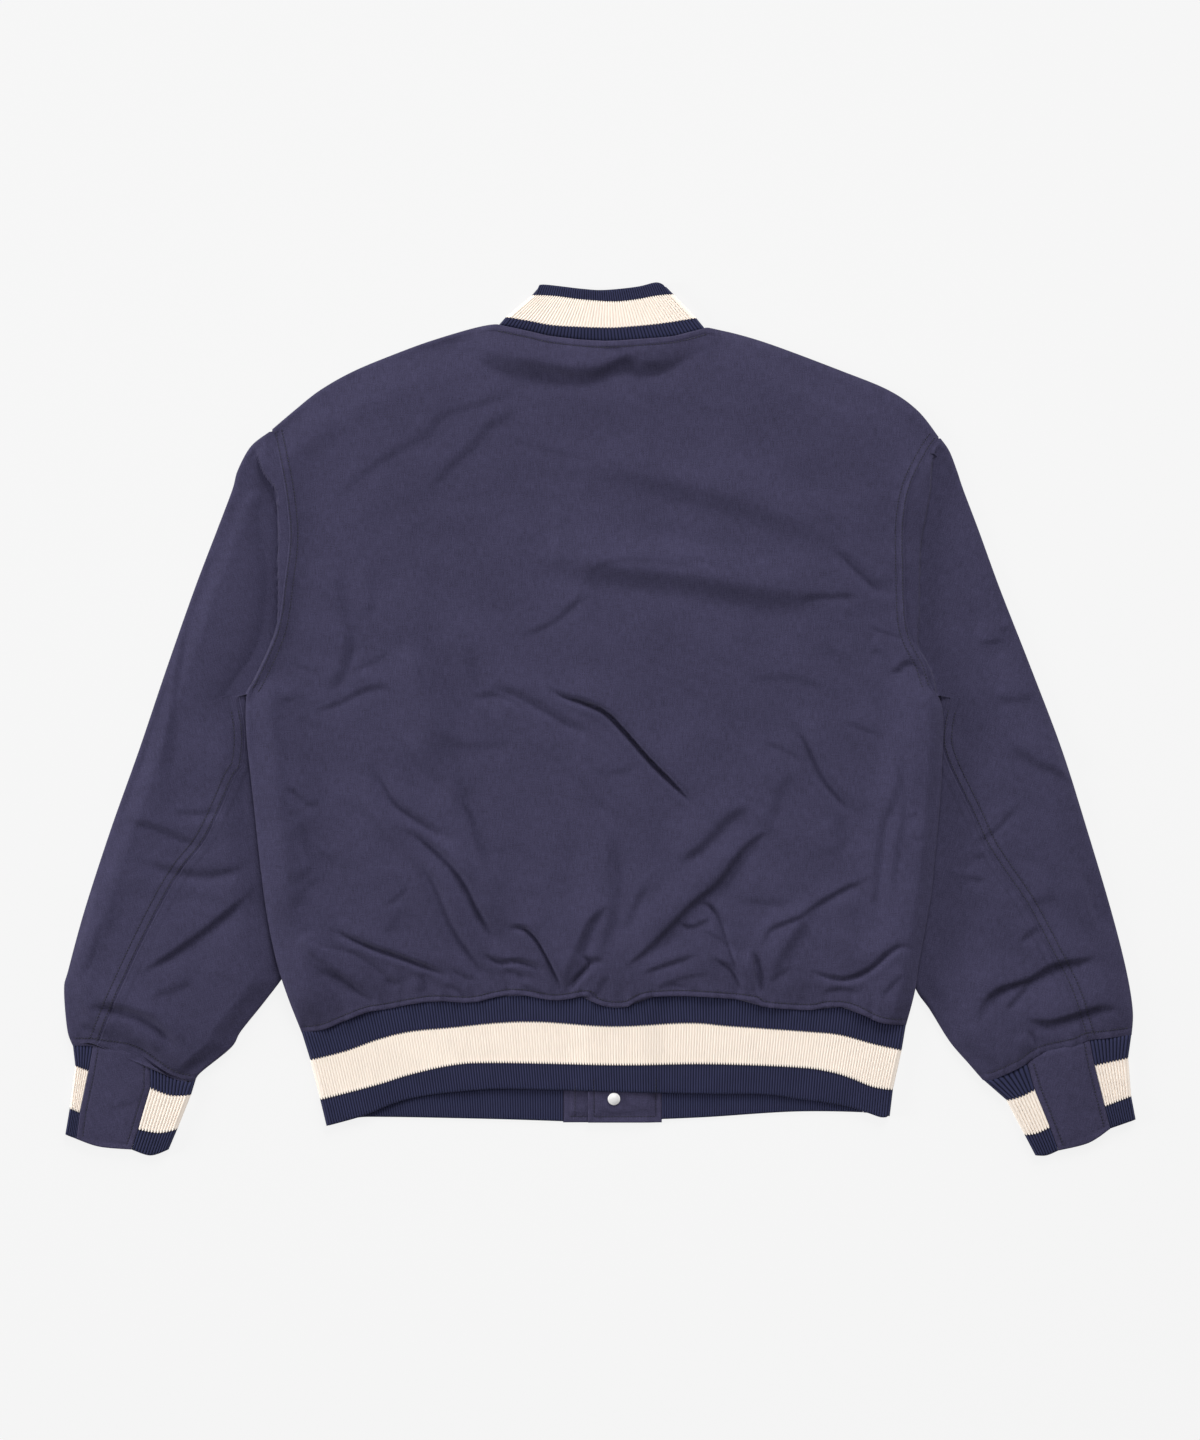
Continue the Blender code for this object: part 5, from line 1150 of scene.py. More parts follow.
class Sleeve:
    """Flattened sleeve: lines from the armhole to the cuff, each from the outer to the inner edge."""

    ARM_LINES = 104
    FOREARM_LINES = 134

    def __init__(self, side, back_edge, strength):
        self.table = SLEEVES[side]
        self.outward = self.table["outward"]
        self.side = side
        self.strength = strength
        keep = back_edge[:, 1] > UNDERARM
        armhole = back_edge[keep][4:]
        self.armhole_y, self.armhole_z = armhole[::-1, 1], armhole[::-1, 2]
        self.armhole = Line(armhole[:, :2] - (self.outward * TUCK, 0.0))
        self.inner = Curve((self.armhole.points[-1], *self.table["inner"]))
        self.outer = Curve(self.table["outer"])
        seam = self.table["seam"]
        beyond = (2 * seam[-1][0] - seam[-2][0], 2 * seam[-1][1] - seam[-2][1])
        self.seam = Curve((*seam, beyond))
        self.cuff = Curve(self.table["cuff"])
        self.rows = np.concatenate([np.arange(self.ARM_LINES) / self.ARM_LINES,
                                    np.linspace(1.0, 2.0, self.FOREARM_LINES + 1)])

    def ends(self, rows):
        """Outer and inner edge points of rows from 0 at the shoulder over 1 at the underarm to 2."""
        below = rows >= 1.0
        outer = self.outer.at(np.where(below, lerp(ARMHOLE_SHARE_OUTSIDE, 1.0, rows - 1.0),
                                       ARMHOLE_SHARE_OUTSIDE * rows))
        inner = np.where(below[:, None], self.inner.at(rows - 1.0), self.armhole.at(rows))
        return outer, inner

    def places(self, rows, share, bent=True):
        """Points across rows. The last rows bend to the line of the cuff's seam."""
        outer, inner = self.ends(rows)
        places = lerp(outer[:, None], inner[:, None], share[..., None])
        if bent:
            bend = smooth((rows - 1.0 - CUFF_BEND_START) / (1.0 - CUFF_BEND_START))[:, None, None]
            straight = lerp(self.outer.at(1.0), self.inner.at(1.0), share[..., None])
            places = places + bend * (self.cuff.at(share) - straight)
        return places

    def width(self, rows):
        """Width of the flattened sleeve at rows."""
        outer, inner = self.ends(rows)
        return np.hypot(*(outer - inner).T)

    def edge_height(self, rows):
        """Height of the folded edges, which meet the thicker cuff at the end."""
        rise = smooth((rows - 1.0 - CUFF_RISE_START) / (1.0 - CUFF_RISE_START))
        return lerp(EDGE_HEIGHT, CUFF_HEIGHT, rise)

    def seam_share(self, rows):
        """Where the back seam crosses each row. Beside the armhole it is the armhole itself."""
        shares = np.linspace(0.2, 1.0, 81)
        places = self.places(rows, np.broadcast_to(shares, (len(rows), len(shares))))
        away, _ = beside_path(places[..., 0], places[..., 1], self.seam.points)
        away *= self.outward
        result = np.ones(len(rows))
        limit = 1.0 - BACK_SEAM_MARGIN / self.width(rows)
        for k, row in enumerate(rows):
            if row >= 1.0:
                crossed = np.nonzero((away[k, :-1] > 0) != (away[k, 1:] > 0))[0]
                share = limit[k]
                if len(crossed):
                    first = crossed[-1]
                    part = away[k, first] / (away[k, first] - away[k, first + 1])
                    share = lerp(shares[first], shares[first + 1], part)
                result[k] = min(share, limit[k])
        return result

    def front_seam_share(self, rows):
        """Where the hidden front seam crosses the underside of each row."""
        share = lerp(*FRONT_SEAM_SHARES, smooth((rows - 1.0) / FRONT_SEAM_TURN))
        return np.where(rows < 1.0, 1.0, share)

    def shelter(self, x, y, from_inner):
        """0 where the body lies close by the sleeve's inner edge, 1 where the sleeve is free to puff up."""
        strip, rise = self.table["shelter"]
        body_side = Curve(SIDE_LEFT if self.side == "left" else SIDE_RIGHT).part(0.4, 1.0, 40)
        beside_body = beside_path(x, y, body_side.points)[0] * self.outward
        return np.minimum(smooth(from_inner / SLEEVE_PUFF_REACH), smooth((beside_body - strip) / rise))

    def valley(self, x, y):
        """Share of OVERHANG by which the sleeve sinks beside its head, which hangs over there."""
        path = Curve(self.table["overhang"]).at(spread(50))
        away, place = beside_path(x, y, path)
        away = away * self.outward + 1.0
        sink = sum(part * smooth(away / down) * np.exp(-np.maximum(away - down, 0.0) / up)
                   for part, down, up in self.table["valley"])
        return sink * smooth(np.minimum(place, 1.0 - place) / 0.07)

    def puff(self, past, to_cuff):
        """How far the middle of the sleeve puffs up, less beyond the upper arm and least at the cuff."""
        full = lerp(self.table["arm_puff"], self.table["puff"], smooth(past / UPPER_ARM_END))
        return lerp(1.0, full, to_cuff)

    def meet_armhole(self, rows, height, from_outer, from_inner, free, valley):
        """Heights joined to the body's edge at the armhole, with the valley beside the sleeve's head."""
        close = fall((from_inner - 2.0) / 14.0)
        beside = fall((from_inner - 2.0) / self.table["blend"])
        beside = beside * lerp(smooth(from_outer / 26.0), 1.0, close) * free
        shared = np.interp(self.ends(rows)[1][:, 1], self.armhole_y, self.armhole_z)[:, None] - SEAM
        height = lerp(height, shared, beside)
        valley = valley * smooth(from_outer / 16.0) * free
        held = (shared - SEAM_HOLD) * fall((from_inner - 0.5) / 4.0) * free
        return np.maximum(np.maximum(height - OVERHANG * valley, 2 * CLOTH + SEAM), held)

    def top(self, rows, share, from_seam):
        """Upper points at shares across the rows, from_seam millimetres from the back seam."""
        width = self.width(rows)[:, None]
        places = self.places(rows, share)
        x, y = places[..., 0], places[..., 1]
        from_outer, from_inner = share * width, (1.0 - share) * width
        past = rows[:, None] - 1.0
        below = past >= 0.0
        free = fall(past / lerp(*HELD_SHARES, smooth(from_inner / HELD_REACH)))
        hidden = lerp(self.shelter(x, y, from_inner), 1.0, free)
        fade = smooth(from_outer / FOLD_FADE) * lerp(smooth((from_inner - 10.0) / 14.0), 1.0, free)
        puff = smooth(from_outer / SLEEVE_PUFF_REACH) * hidden
        to_cuff = smooth((2.0 - rows) / CUFF_CALM)[:, None]
        folds = crease_height(x, y, SLEEVE_CREASES[self.side], self.strength) + soft_relief(x, y)
        end_fade = lerp(CUFF_CREASES, 1.0, smooth((2.0 - rows) * FOREARM / 20.0))[:, None]
        height = self.edge_height(rows)[:, None] + fade * end_fade * folds + puff * self.puff(past, to_cuff)
        height = self.meet_armhole(rows, height, from_outer, from_inner, free, self.valley(x, y))
        to_seam = np.where(below, from_seam, 40.0)
        height = height + welt(to_seam, 8.0, 0.15)
        to_end = (2.0 - rows)[:, None] * FOREARM
        height = height + np.where(below, welt(to_end, 6.6, 0.3), 0.0)
        # Colour maps: the strips beside the back seam and the cuff's seam are painted paler, partly as wear
        # and partly as painted highlight; the stitch rows are darkened as painted shade.
        end_strip = np.where(below, 0.5 * wear_and_light_strip(to_end, CUFF_ROW), 0.0)
        end_stitch = np.where(below, 0.5 * stitch_line(to_end, CUFF_ROW), 0.0)
        self.wear_and_painted_light = np.maximum(wear_and_light_strip(to_seam, SLEEVE_ROWS[1]) * 0.08, end_strip)
        self.sewn = np.maximum(stitch_line(to_seam, *SLEEVE_ROWS) * 0.3, end_stitch)
        height = height + np.where(below, 0.7 * gathers(x, to_end, 31) * fade, 0.0)
        return places, height


def upper_layer(sleeve, rows, start, edge_share):
    """Cloth from the back seam over the top to a folded edge: outer and inner points, and inner columns."""
    width = sleeve.width(rows)
    reach = np.abs(start - edge_share) * width
    stations = Stations(EDGE_LINES, int(reach.max() / CLOTH_SPACING), EDGE_LINES)
    from_seam = stations.at(reach)
    narrow = (reach / (stations.strip + 2.0) < 1.0)[:, None]
    even = spread(from_seam.shape[1]) * reach[:, None]
    from_seam = np.where(narrow, even, from_seam)
    share = start[:, None] + np.sign(edge_share - start)[:, None] * from_seam / width[:, None]
    from_fold = reach[:, None] - from_seam
    places, height = sleeve.top(rows, share, from_seam)
    middle = sleeve.edge_height(rows)[:, None] / 2
    rise = rounding(from_fold)
    outer = np.dstack([places, middle + (height - middle) * rise])
    below = np.maximum(lowest_near(height, WALL_STRIDE) - CLOTH, CLOTH + SEAM)
    shift = drawn_in(places, places[:, :1], from_fold)
    inner = np.dstack([places + shift, middle + (below - middle) * rise])
    return outer, inner[:, stations.wall], stations.wall


def floor_layer(sleeve, rows, edge_share, toward, last):
    """Cloth from a folded edge along the floor to the front seam, given as upper_layer gives its own."""
    width = sleeve.width(rows)[:, None]
    near = edge_share[:, None] + toward * np.array(EDGE_LINES[1:])[None] / width
    far = lerp(near[:, -1:], last[:, None], spread(9)[1:])
    share = np.hstack([near, far])
    from_fold = np.abs(share - edge_share[:, None]) * width
    bend = smooth(1.0 - from_fold / 12.0)[..., None]
    places = lerp(sleeve.places(rows, share, bent=False), sleeve.places(rows, share), bend)
    middle = sleeve.edge_height(rows)[:, None] / 2
    rise = rounding(from_fold)
    outer = np.dstack([places, middle * (1.0 - rise)])
    shift = drawn_in(places, places[:, -1:] + 1e-3, from_fold)
    inner = np.dstack([places + shift, lerp(middle, CLOTH, rise)])
    count = share.shape[1]
    columns = [3, 7, 10, *range(11, count - 1, 2), count - 1]
    return outer, inner[:, columns], columns


def make_sleeve_part(sleeve, rows, start, edge_share, toward, last, name, node):
    """Part of a sleeve: from the back seam over the top, round a folded edge and on underneath."""
    upper, upper_inner, upper_columns = upper_layer(sleeve, rows, start, edge_share)
    under, under_inner, under_columns = floor_layer(sleeve, rows, edge_share, toward, last)
    inner_at = upper_columns + [upper.shape[1] + column for column in under_columns]
    plain = np.zeros(under.shape[:2])
    wear_and_painted_light = np.hstack([sleeve.wear_and_painted_light, plain]), np.hstack([sleeve.sewn, plain])
    shell = Shell(np.hstack([upper, under]), np.hstack([upper_inner, under_inner]), inner_at)
    piece = shell.make(name, finish("jacket_twill"), sleeve.table["grain"], wear_and_painted_light=wear_and_painted_light)
    stand_for(node)
    return piece


def make_sleeve(side, back_edge, strength):
    """Upper and under sleeve of one side, sewn to the edge of the back."""
    sleeve = Sleeve(side, back_edge, strength)
    rows = sleeve.rows
    start, last = sleeve.seam_share(rows), sleeve.front_seam_share(rows)
    upper = make_sleeve_part(sleeve, rows, start, np.zeros(len(rows)), 1.0, last,
                             "upper_sleeve_" + side, "sleeve_upper_" + side)
    rows = sleeve.rows[sleeve.ARM_LINES - 2:]
    gap = SEAM / 4 / sleeve.width(rows)
    start, last = sleeve.seam_share(rows) + gap, sleeve.front_seam_share(rows) + gap
    under = make_sleeve_part(sleeve, rows, start, np.ones(len(rows)), -1.0, last,
                             "under_sleeve_" + side, "sleeve_under_" + side)


# Rib knit


RIB_SAMPLES = 6                 # lines across each rib
CUFF_SAMPLES = 8                # the same on the cuffs, whose ribs are broader
BAND_ROWS = (12, 18, 12)        # rows of the three stripes
FOLD_STEPS = 8                  # lines round a band's fold
FLOOR_STEPS = 4                 # lines of the plain stretch under it
FRONT_START = 0.12              # share of a front's length where its own piece takes over
FRONT_GAP = 0.003               # share of it between the two pieces
FREE_ROUND = 2.6                # length of the round at a band's free edge
SEAM_DIP = 1.2                  # how far a band sinks where it is sewn on


def rib_wave(phase, depth):
    """Height of rounded ribs below their crests: narrow grooves between broad ribs."""
    return depth * (np.abs(np.sin(np.pi * phase)) ** 0.7 - 1.0)


def band_rows(lines, share):
    """Points of a band between its lines, row by row, and the stripe coordinate of each row."""
    places = [line.at(share) for line in lines]
    levels = np.concatenate([k + np.arange(count) / count for k, count in enumerate(BAND_ROWS)])
    last = 3.0 - levels[-1]
    levels = np.concatenate([levels, 3.0 - last * np.array((0.7, 0.45, 0.25, 0.12, 0.04, 0.0))])
    whole = np.minimum(levels.astype(int), 2)
    points = np.stack([lerp(places[k], places[k + 1], level - k) for k, level in zip(whole, levels)])
    return points, levels


def reach_of(points):
    """Distance of each row of points from the first row."""
    steps = np.hypot(*np.moveaxis(np.diff(points, axis=0), -1, 0))
    return np.vstack([np.zeros(points.shape[1]), np.cumsum(steps, axis=0)])


class Span:
    """Stretch of a band: outer and inner points, ribs and stripes, and the columns of its inner side."""

    def __init__(self, outer, inner, phase, levels, keep=None):
        self.keep = np.arange(outer.shape[1]) if keep is None else np.array(keep)
        self.outer, self.inner = outer, inner[:, self.keep]
        self.band = np.dstack(np.broadcast_arrays(np.asarray(phase)[None], levels[:, None]))

    def turned(self):
        """The same stretch with its columns in the other order."""
        other = copy.copy(self)
        other.keep = self.outer.shape[1] - 1 - self.keep[::-1]
        other.outer, other.inner, other.band = self.outer[:, ::-1], self.inner[:, ::-1], self.band[:, ::-1]
        return other


def ribbed_span(lines, ribs, height, depth, samples=RIB_SAMPLES):
    """Ribbed stretch with a rounded free edge. height gives that of its crests at table places."""
    share = spread(int(ribs * samples) + 1)
    points, levels = band_rows(lines, share)
    reach = reach_of(points)
    from_free = reach[-1:] - reach
    level = height(points[..., 0], points[..., 1])
    phase = share * ribs
    turn = RIB / 2 * (1.0 - rounding(from_free, FREE_ROUND))
    knit = rib_wave(phase, depth)[None] * smooth(from_free / 1.2 + 0.35)
    dip = SEAM_DIP * fall(reach / 3.2)
    outer = np.dstack([points, level + (knit - turn - dip)])
    inner = np.dstack([points, level - (RIB - turn)])
    keep = sorted({*range(0, len(share), samples * 2), len(share) - 1})
    return Span(outer, inner, phase, levels, keep)


def folded_span(lines, height, first):
    """Half-round fold at the far end of some lines, from the upper layer down to the floor."""
    edge, levels = band_rows(lines, np.array([1.0]))
    before, _ = band_rows(lines, np.array([0.8]))
    outward = edge[:, 0] - before[:, 0]
    outward /= np.hypot(outward[:, 0], outward[:, 1])[:, None]
    radius = height / 2
    from_free = reach_of(edge)[-1] - reach_of(edge)[:, 0]
    free = 0.5 * (1.0 - rounding(from_free, FREE_ROUND))
    outer, inner = [], []
    for angle in np.radians(np.linspace(90.0, -90.0, FOLD_STEPS)[1:]):
        for points, size in ((outer, radius), (inner, radius - RIB)):
            place = edge[:, 0] + outward * (size * math.cos(angle) - radius)
            points.append(np.column_stack([place, radius + size * math.sin(angle) * (1.0 - free)]))
    phase = first + 0.45 * np.arange(1, FOLD_STEPS)
    return Span(np.stack(outer, axis=1), np.stack(inner, axis=1), phase, levels)


def floor_span(lines, start, end, first):
    """Plain stretch that lies on the floor."""
    points, levels = band_rows(lines, np.linspace(start, end, FLOOR_STEPS))
    outer = np.dstack([points, np.zeros(points.shape[:2])])
    inner = np.dstack([points, np.full(points.shape[:2], RIB)])
    return Span(outer, inner, first + 0.5 * np.arange(FLOOR_STEPS), levels)


def joined_band(name, node, spans):
    """Closed piece of rib knit from its stretches."""
    columns = np.cumsum([0, *(span.outer.shape[1] for span in spans)])
    inner_at = np.concatenate([start + span.keep for start, span in zip(columns, spans)])
    band = np.hstack([span.band for span in spans])
    outer, inner = np.hstack([span.outer for span in spans]), np.hstack([span.inner for span in spans])
    shell = Shell(outer, inner, inner_at)
    piece = shell.make(name, finish("jacket_rib"), 0.0, band, band[:, inner_at])
    stand_for(node)
    return piece


def trimmed(lines, start, end):
    """Lines without some millimetres at their start and end."""
    return [line.part(start / line.length, 1.0 - end / line.length, 200) for line in lines]


def band_height(height, rise=0.0, relief=0.35):
    """Height of a band's crests over a place: level, over the lap and slightly uneven."""
    return lambda x, y: height + rise * over_lap(x) + relief * soft_relief(x, y)


def make_round_band(name, node, back_lines, front_lines, height, rise, ribs):
    """Ribbed back of a band round the body, with its folds and the first of its fronts."""
    radius = height / 2
    top = ribbed_span(trimmed(back_lines, radius, radius), ribs, band_height(height, rise), 0.75)
    flipped = [Line(line.points[::-1]) for line in back_lines]
    left, right = (floor_span(lines, 0.05, FRONT_START, 4.0) for lines in front_lines)
    spans = [left.turned(), folded_span(flipped, height, 0.0).turned(), top,
             folded_span(back_lines, height, ribs), right]
    return joined_band(name, node, spans)


def make_band_front(name, node, lines, ribs, depth):
    """Front of a band round the body: inside up, so its ribs show where the back ends above them."""
    part = [line.part(FRONT_START + FRONT_GAP, 1.0, 200) for line in lines]
    span = ribbed_span(part, ribs, lambda x, y: np.full(np.shape(x), RIB), depth)
    span.inner[..., 2] = 0.0
    return joined_band(name, node, [span])


def cuff_lines(side, edge):
    """Lines of a cuff's inner and outer part beside the insert, each from the insert to the fold."""
    insert_start, insert_end = SLEEVES[side]["insert"]
    inner_lines, outer_lines = [edge.part(insert_end, 1.0, 100)], [edge.part(insert_start, 0.0, 100)]
    for outer_fold, outer_edge, inner_edge, middle, inner_fold in CUFFS[side]:
        inner_lines.append(Curve((inner_edge, middle, inner_fold)))
        outer_lines.append(Line((outer_edge, outer_fold)))
    return inner_lines, outer_lines


def make_cuff(side):
    """Ribbed cuff, open along its cloth insert."""
    table = SLEEVES[side]
    seam = Curve(table["cuff"])
    down = seam.at(np.array([0.0, 1.0]))
    chord = (down[1] - down[0]) / np.hypot(*(down[1] - down[0]))
    away = table["outward"] * np.array((chord[1], -chord[0])) * TUCK
    edge = Line(seam.at(spread(200)) + away)
    inner_lines, outer_lines = cuff_lines(side, edge)
    level = band_height(CUFF_HEIGHT, 0.0, 0.5)
    inner_top, outer_top = (ribbed_span(trimmed(lines, 0.0, CUFF_HEIGHT / 2), ribs, level, 0.9, CUFF_SAMPLES)
                            for lines, ribs in zip((inner_lines, outer_lines), CUFF_RIBS[side]))
    under = [Line((inner.at(1.0), outer.at(1.0))) for inner, outer in zip(inner_lines, outer_lines)]
    inner_ribs, outer_ribs = CUFF_RIBS[side]
    spans = [inner_top, folded_span(inner_lines, CUFF_HEIGHT, inner_ribs), floor_span(under, 0.1, 0.9, 2.0),
             folded_span(outer_lines, CUFF_HEIGHT, outer_ribs).turned(), outer_top.turned()]
    piece = joined_band("cuff_" + side, "cuff_rib_" + side, spans)
    insert_lines = [edge.part(*table["insert"], 60)]
    insert_lines += [Line((row[1], row[2])) for row in CUFFS[side][:-1]]
    insert_lines.append(Curve((CUFFS[side][-1][1], INSERT_FREE_MIDDLE[side], CUFFS[side][-1][2])))
    tab = make_tab("insert_" + side, "cuff_insert_" + side, insert_lines, CUFF_HEIGHT - HEM_END + 0.5,
                   table["grain"], INSERT_CREASES[side])


HEM_TAB_CREASES = (
    (0.9, "thin", ((-5, -362), (12, -364), (30, -363), (44, -366))),
    (0.8, "thin", ((20, -352), (34, -360), (47, -363))),
    (0.7, "thin", ((-28, -366), (-20, -364), (-12, -366))),
    (0.5, "soft", ((-2, -347), (14, -352), (40, -350))),
)
INSERT_CREASES = {
    "left": ((1.6, "soft", ((-433, -305), (-414, -327))), (0.8, "thin", ((-452, -360), (-425, -352)))),
    "right": ((1.0, "soft", ((402, -302), (412, -318))),),
}


def make_tab(name, node, lines, base, grain, creases, lap=0.0):
    """Doubled cloth end with pressed and topstitched edges."""
    share = np.concatenate([np.linspace(0.0, 0.14, 16)[:-1], np.linspace(0.14, 0.86, 40),
                            np.linspace(0.86, 1.0, 16)[1:]])
    points, _ = band_rows(lines, share)
    x, y = points[..., 0], points[..., 1]
    reach = reach_of(points)
    width = np.array([line.length for line in lines]).mean()
    from_side = np.broadcast_to(np.minimum(share, 1.0 - share) * width, reach.shape)
    from_edge = np.minimum(from_side, reach[-1:] - reach)
    low = base + lap_height(x, lap)
    turn = HEM_END / 2 * (1.0 - rounding(from_edge, 1.2))
    sewn = 0.8 * fall(reach / 3.0)
    beside_stitch = -0.3 * np.exp(-((from_edge - TAB_STITCH) / 1.1) ** 2)
    pillow = 0.35 * smooth((from_edge - TAB_STITCH) / 9.0)
    folds = crease_height(x, y, creases, 1.0) + 0.5 * soft_relief(x, y)
    folds = folds * smooth(from_edge / 6.0)
    outer = low + HEM_END - turn - sewn + beside_stitch + pillow + np.maximum(folds, -1.0)
    columns = sorted({0, 4, *range(8, len(share) - 8, 6), len(share) - 5, len(share) - 1})
    shell = Shell(np.dstack([points, outer]), np.dstack([points, low + turn])[:, columns], columns)
    # The 0.55 over the whole piece is painted light that makes up for the shade the bands around it cast; the
    # strip along its stitched edges is paler still, as wear and painted highlight, and the stitch row darker
    # as painted shade.
    wear_and_painted_light = 0.55 + 0.35 * wear_and_light_strip(from_edge, TAB_STITCH), 0.3 * stitch_line(from_edge, TAB_STITCH)
    piece = shell.make(name, finish("jacket_twill"), grain, wear_and_painted_light=wear_and_painted_light)
    stand_for(node)
    return piece


def make_hem_ends():
    """Cloth ends of the hem, the right one lapped over the left one."""
    for side, start, end, lap in (("left", HEM_END_LEFT, FRONT_EDGES["left"], 0.0),
                                  ("right", FRONT_EDGES["right"], HEM_END_RIGHT, HEM_END + SEAM)):
        rows = [Line([(x, lerp(front_seam(x, side) - SEAM, HEM_END_LOW, share)) for x in (start, end)])
                for share in HEM_END_SHARES]
        piece = make_tab("hem_tab_" + side, "hem_end_" + side, rows, 0.0, 0.0, HEM_TAB_CREASES, lap)


def hem_lines(back):
    """Lines of the hem's back and of its two fronts, from the seam to the free edge."""
    seam = Line(back["hem"][:, :2] + (0.0, TUCK))
    back_lines = [seam, Curve(HEM_UPPER_STRIPE), Curve(HEM_LOWER_STRIPE), Curve(HEM_BACK_EDGE)]
    fronts = []
    for at, side, free_edge, end in ((0.0, "left", HEM_FRONT_LEFT, HEM_END_LEFT),
                                     (1.0, "right", HEM_FRONT_RIGHT, HEM_END_RIGHT)):
        seam_end = np.array((end, front_seam(end, side) - SEAM))
        lines = [Line((seam.at(at), seam_end))]
        for line, share in zip(back_lines[1:], HEM_STRIPE_SHARES):
            lines.append(Line((line.at(at), lerp(seam_end, np.array(free_edge[-1], dtype=float), share))))
        lines.append(Curve(free_edge))
        fronts.append(lines)
    return back_lines, fronts


def collar_lines(back, necklines):
    """Lines of the collar's back and of its two fronts, from the seam to the free edge."""
    seam = Line(back["neck"][:, :2] - (0.0, TUCK))
    back_lines = [seam, Curve(COLLAR_LOWER_STRIPE), Curve(COLLAR_UPPER_STRIPE), Curve(COLLAR_TOP)]
    fronts = []
    for at, sign, neckline in ((0.0, 1, necklines[0]), (1.0, -1, necklines[1])):
        opening = COLLAR_FRONT_X - sign * SEAM / 2
        low = Line(neckline.points + (sign * COLLAR_INSET[0], COLLAR_INSET[1]))
        shares = spread(101)
        reach = shares[(low.at(shares)[:, 0] - opening) * sign < 0].max()
        low_points = low.at(reach * np.arange(12) / 12)
        low = Line([*low_points, (opening, COLLAR_FRONT_LOW + COLLAR_INSET[1])])
        corner = back_lines[-1].at(at)
        dip = [(lerp(corner[0], opening, share), y) for share, y in COLLAR_FRONT_DIP]
        top = Curve((corner, *dip, (opening, COLLAR_FRONT_TOP)))
        t = spread(25)
        lines = []
        for line, share in zip(back_lines, COLLAR_ROW_SHARE):
            places = lerp(low.at(t), top.at(t), share)
            keep = ((1.0 - t) ** 3)[:, None]
            lines.append(Line(places + keep * (line.at(at) - places[0])))
        fronts.append(lines)
    return back_lines, fronts


# Settings


def colour_setting(name, description, default):
    """Property of a finish's colour."""
    return FloatVectorProperty(name=name, description=description, subtype="COLOR", min=0.0, max=1.0,
                               default=default)


def light_setting(name, description, default):
    """Property of a light, as the share of full brightness that it gives flat ground."""
    return FloatProperty(name=name, description=description + " on flat ground", default=default, min=0.0)


class JacketCloth(PropertyGroup):
    """Sizes and colours of the jacket."""

    twill: colour_setting("Twill", "Colour of body and sleeves", (0.0440, 0.0402, 0.0810))
    navy: colour_setting("Navy yarn", "Dark yarn of the rib knit", (0.0300, 0.0326, 0.0790))
    cream: colour_setting("Cream yarn", "Pale yarn of the rib knit", (0.985, 0.880, 0.785))
    thread: colour_setting("Thread", "Sewing thread", (0.0085, 0.0080, 0.0190))
    snap: colour_setting("Snap", "Enamel of the snap caps", (0.84, 0.83, 0.82))
    crease: FloatProperty(name="Creases", description="Depth of the creases, 1 as drawn", default=1.0,
                          min=0.0, max=2.0)
    stitch: FloatProperty(name="Stitch", description="Length of a stitch", unit="LENGTH", default=0.0020,
                          min=0.001, max=0.01)


class JacketStage(PropertyGroup):
    """Floor, light and camera."""

    floor: FloatProperty(name="Floor", description="Brightness of the floor", default=0.92, min=0.0, max=1.0)
    shadow: FloatProperty(name="Shadow", description="Share of the floor's brightness that shadows take",
                          default=0.07, min=0.0, max=1.0)
    ambient: light_setting("Ambient", "Light from all round", 0.16)
    left: light_setting("Left light", "Soft light from the left", 0.22)
    top: light_setting("Top light", "Soft light from the collar's side", 0.42)
    right: light_setting("Right light", "Soft light from the right", 0.05)
    overhead: light_setting("Overhead light", "Light of the overhead softbox", 0.30)
    lens: FloatProperty(name="Lens", description="Focal length", subtype="DISTANCE_CAMERA", default=85.0,
                        min=10.0)
    view: FloatProperty(name="View height", description="Height of the picture on the jacket", unit="LENGTH",
                        default=1.3248, min=0.1)


# Snaps


SNAP_FORM = ((5.7, 0.0), (5.7, 0.45), (5.62, 0.7), (5.35, 0.92), (4.9, 1.12), (4.55, 1.2), (4.3, 1.28),
             (3.7, 1.55), (2.9, 1.79), (2.0, 1.95), (1.0, 2.03))    # reach and height from rim to tip
SNAP_FLAT_FORM = ((5.7, 0.0), (5.7, 0.5), (5.5, 0.8), (5.1, 0.95), (2.5, 1.0))
SNAP_SIDES = 48
SNAP_CROWN = 0.02                       # how far the middle stands above the last ring


def ring_faces(low, sides):
    """Faces between a ring of points and the next one."""
    turns = [(k, (k + 1) % sides) for k in range(sides)]
    return [(low + k, low + after, low + sides + after, low + sides + k) for k, after in turns]


def make_snap(index):
    """One snap cap, domed where it shows and flat between the layers."""
    shows = index == SNAP_COUNT - 1
    form = SNAP_FORM if shows else SNAP_FLAT_FORM
    seat = SEAM + (2 * HEM_END + SEAM if shows else LAP_RISE + CLOTH)
    middle = (SNAP_X, SNAP_TOP - index * SNAP_PITCH)
    turns = np.arange(SNAP_SIDES) * 2 * math.pi / SNAP_SIDES
    rings = [np.column_stack([middle[0] + reach * np.cos(turns), middle[1] + reach * np.sin(turns),
                              np.full(SNAP_SIDES, seat + height)]) for reach, height in form]
    tip_height = seat + form[-1][1] + SNAP_CROWN
    points = np.concatenate([*rings, [(*middle, tip_height), (*middle, seat)]])
    tip, foot, last = len(points) - 2, len(points) - 1, (len(form) - 1) * SNAP_SIDES
    faces = [face for ring in range(len(form) - 1) for face in ring_faces(ring * SNAP_SIDES, SNAP_SIDES)]
    for k in range(SNAP_SIDES):
        after = (k + 1) % SNAP_SIDES
        faces += [(last + k, last + after, tip), (after, k, foot)]
    piece = mesh_piece(f"snap_cap_{index + 1}", points, faces, finish("jacket_snap"))
    stand_for(f"snap_{index + 1}")


# Stitching


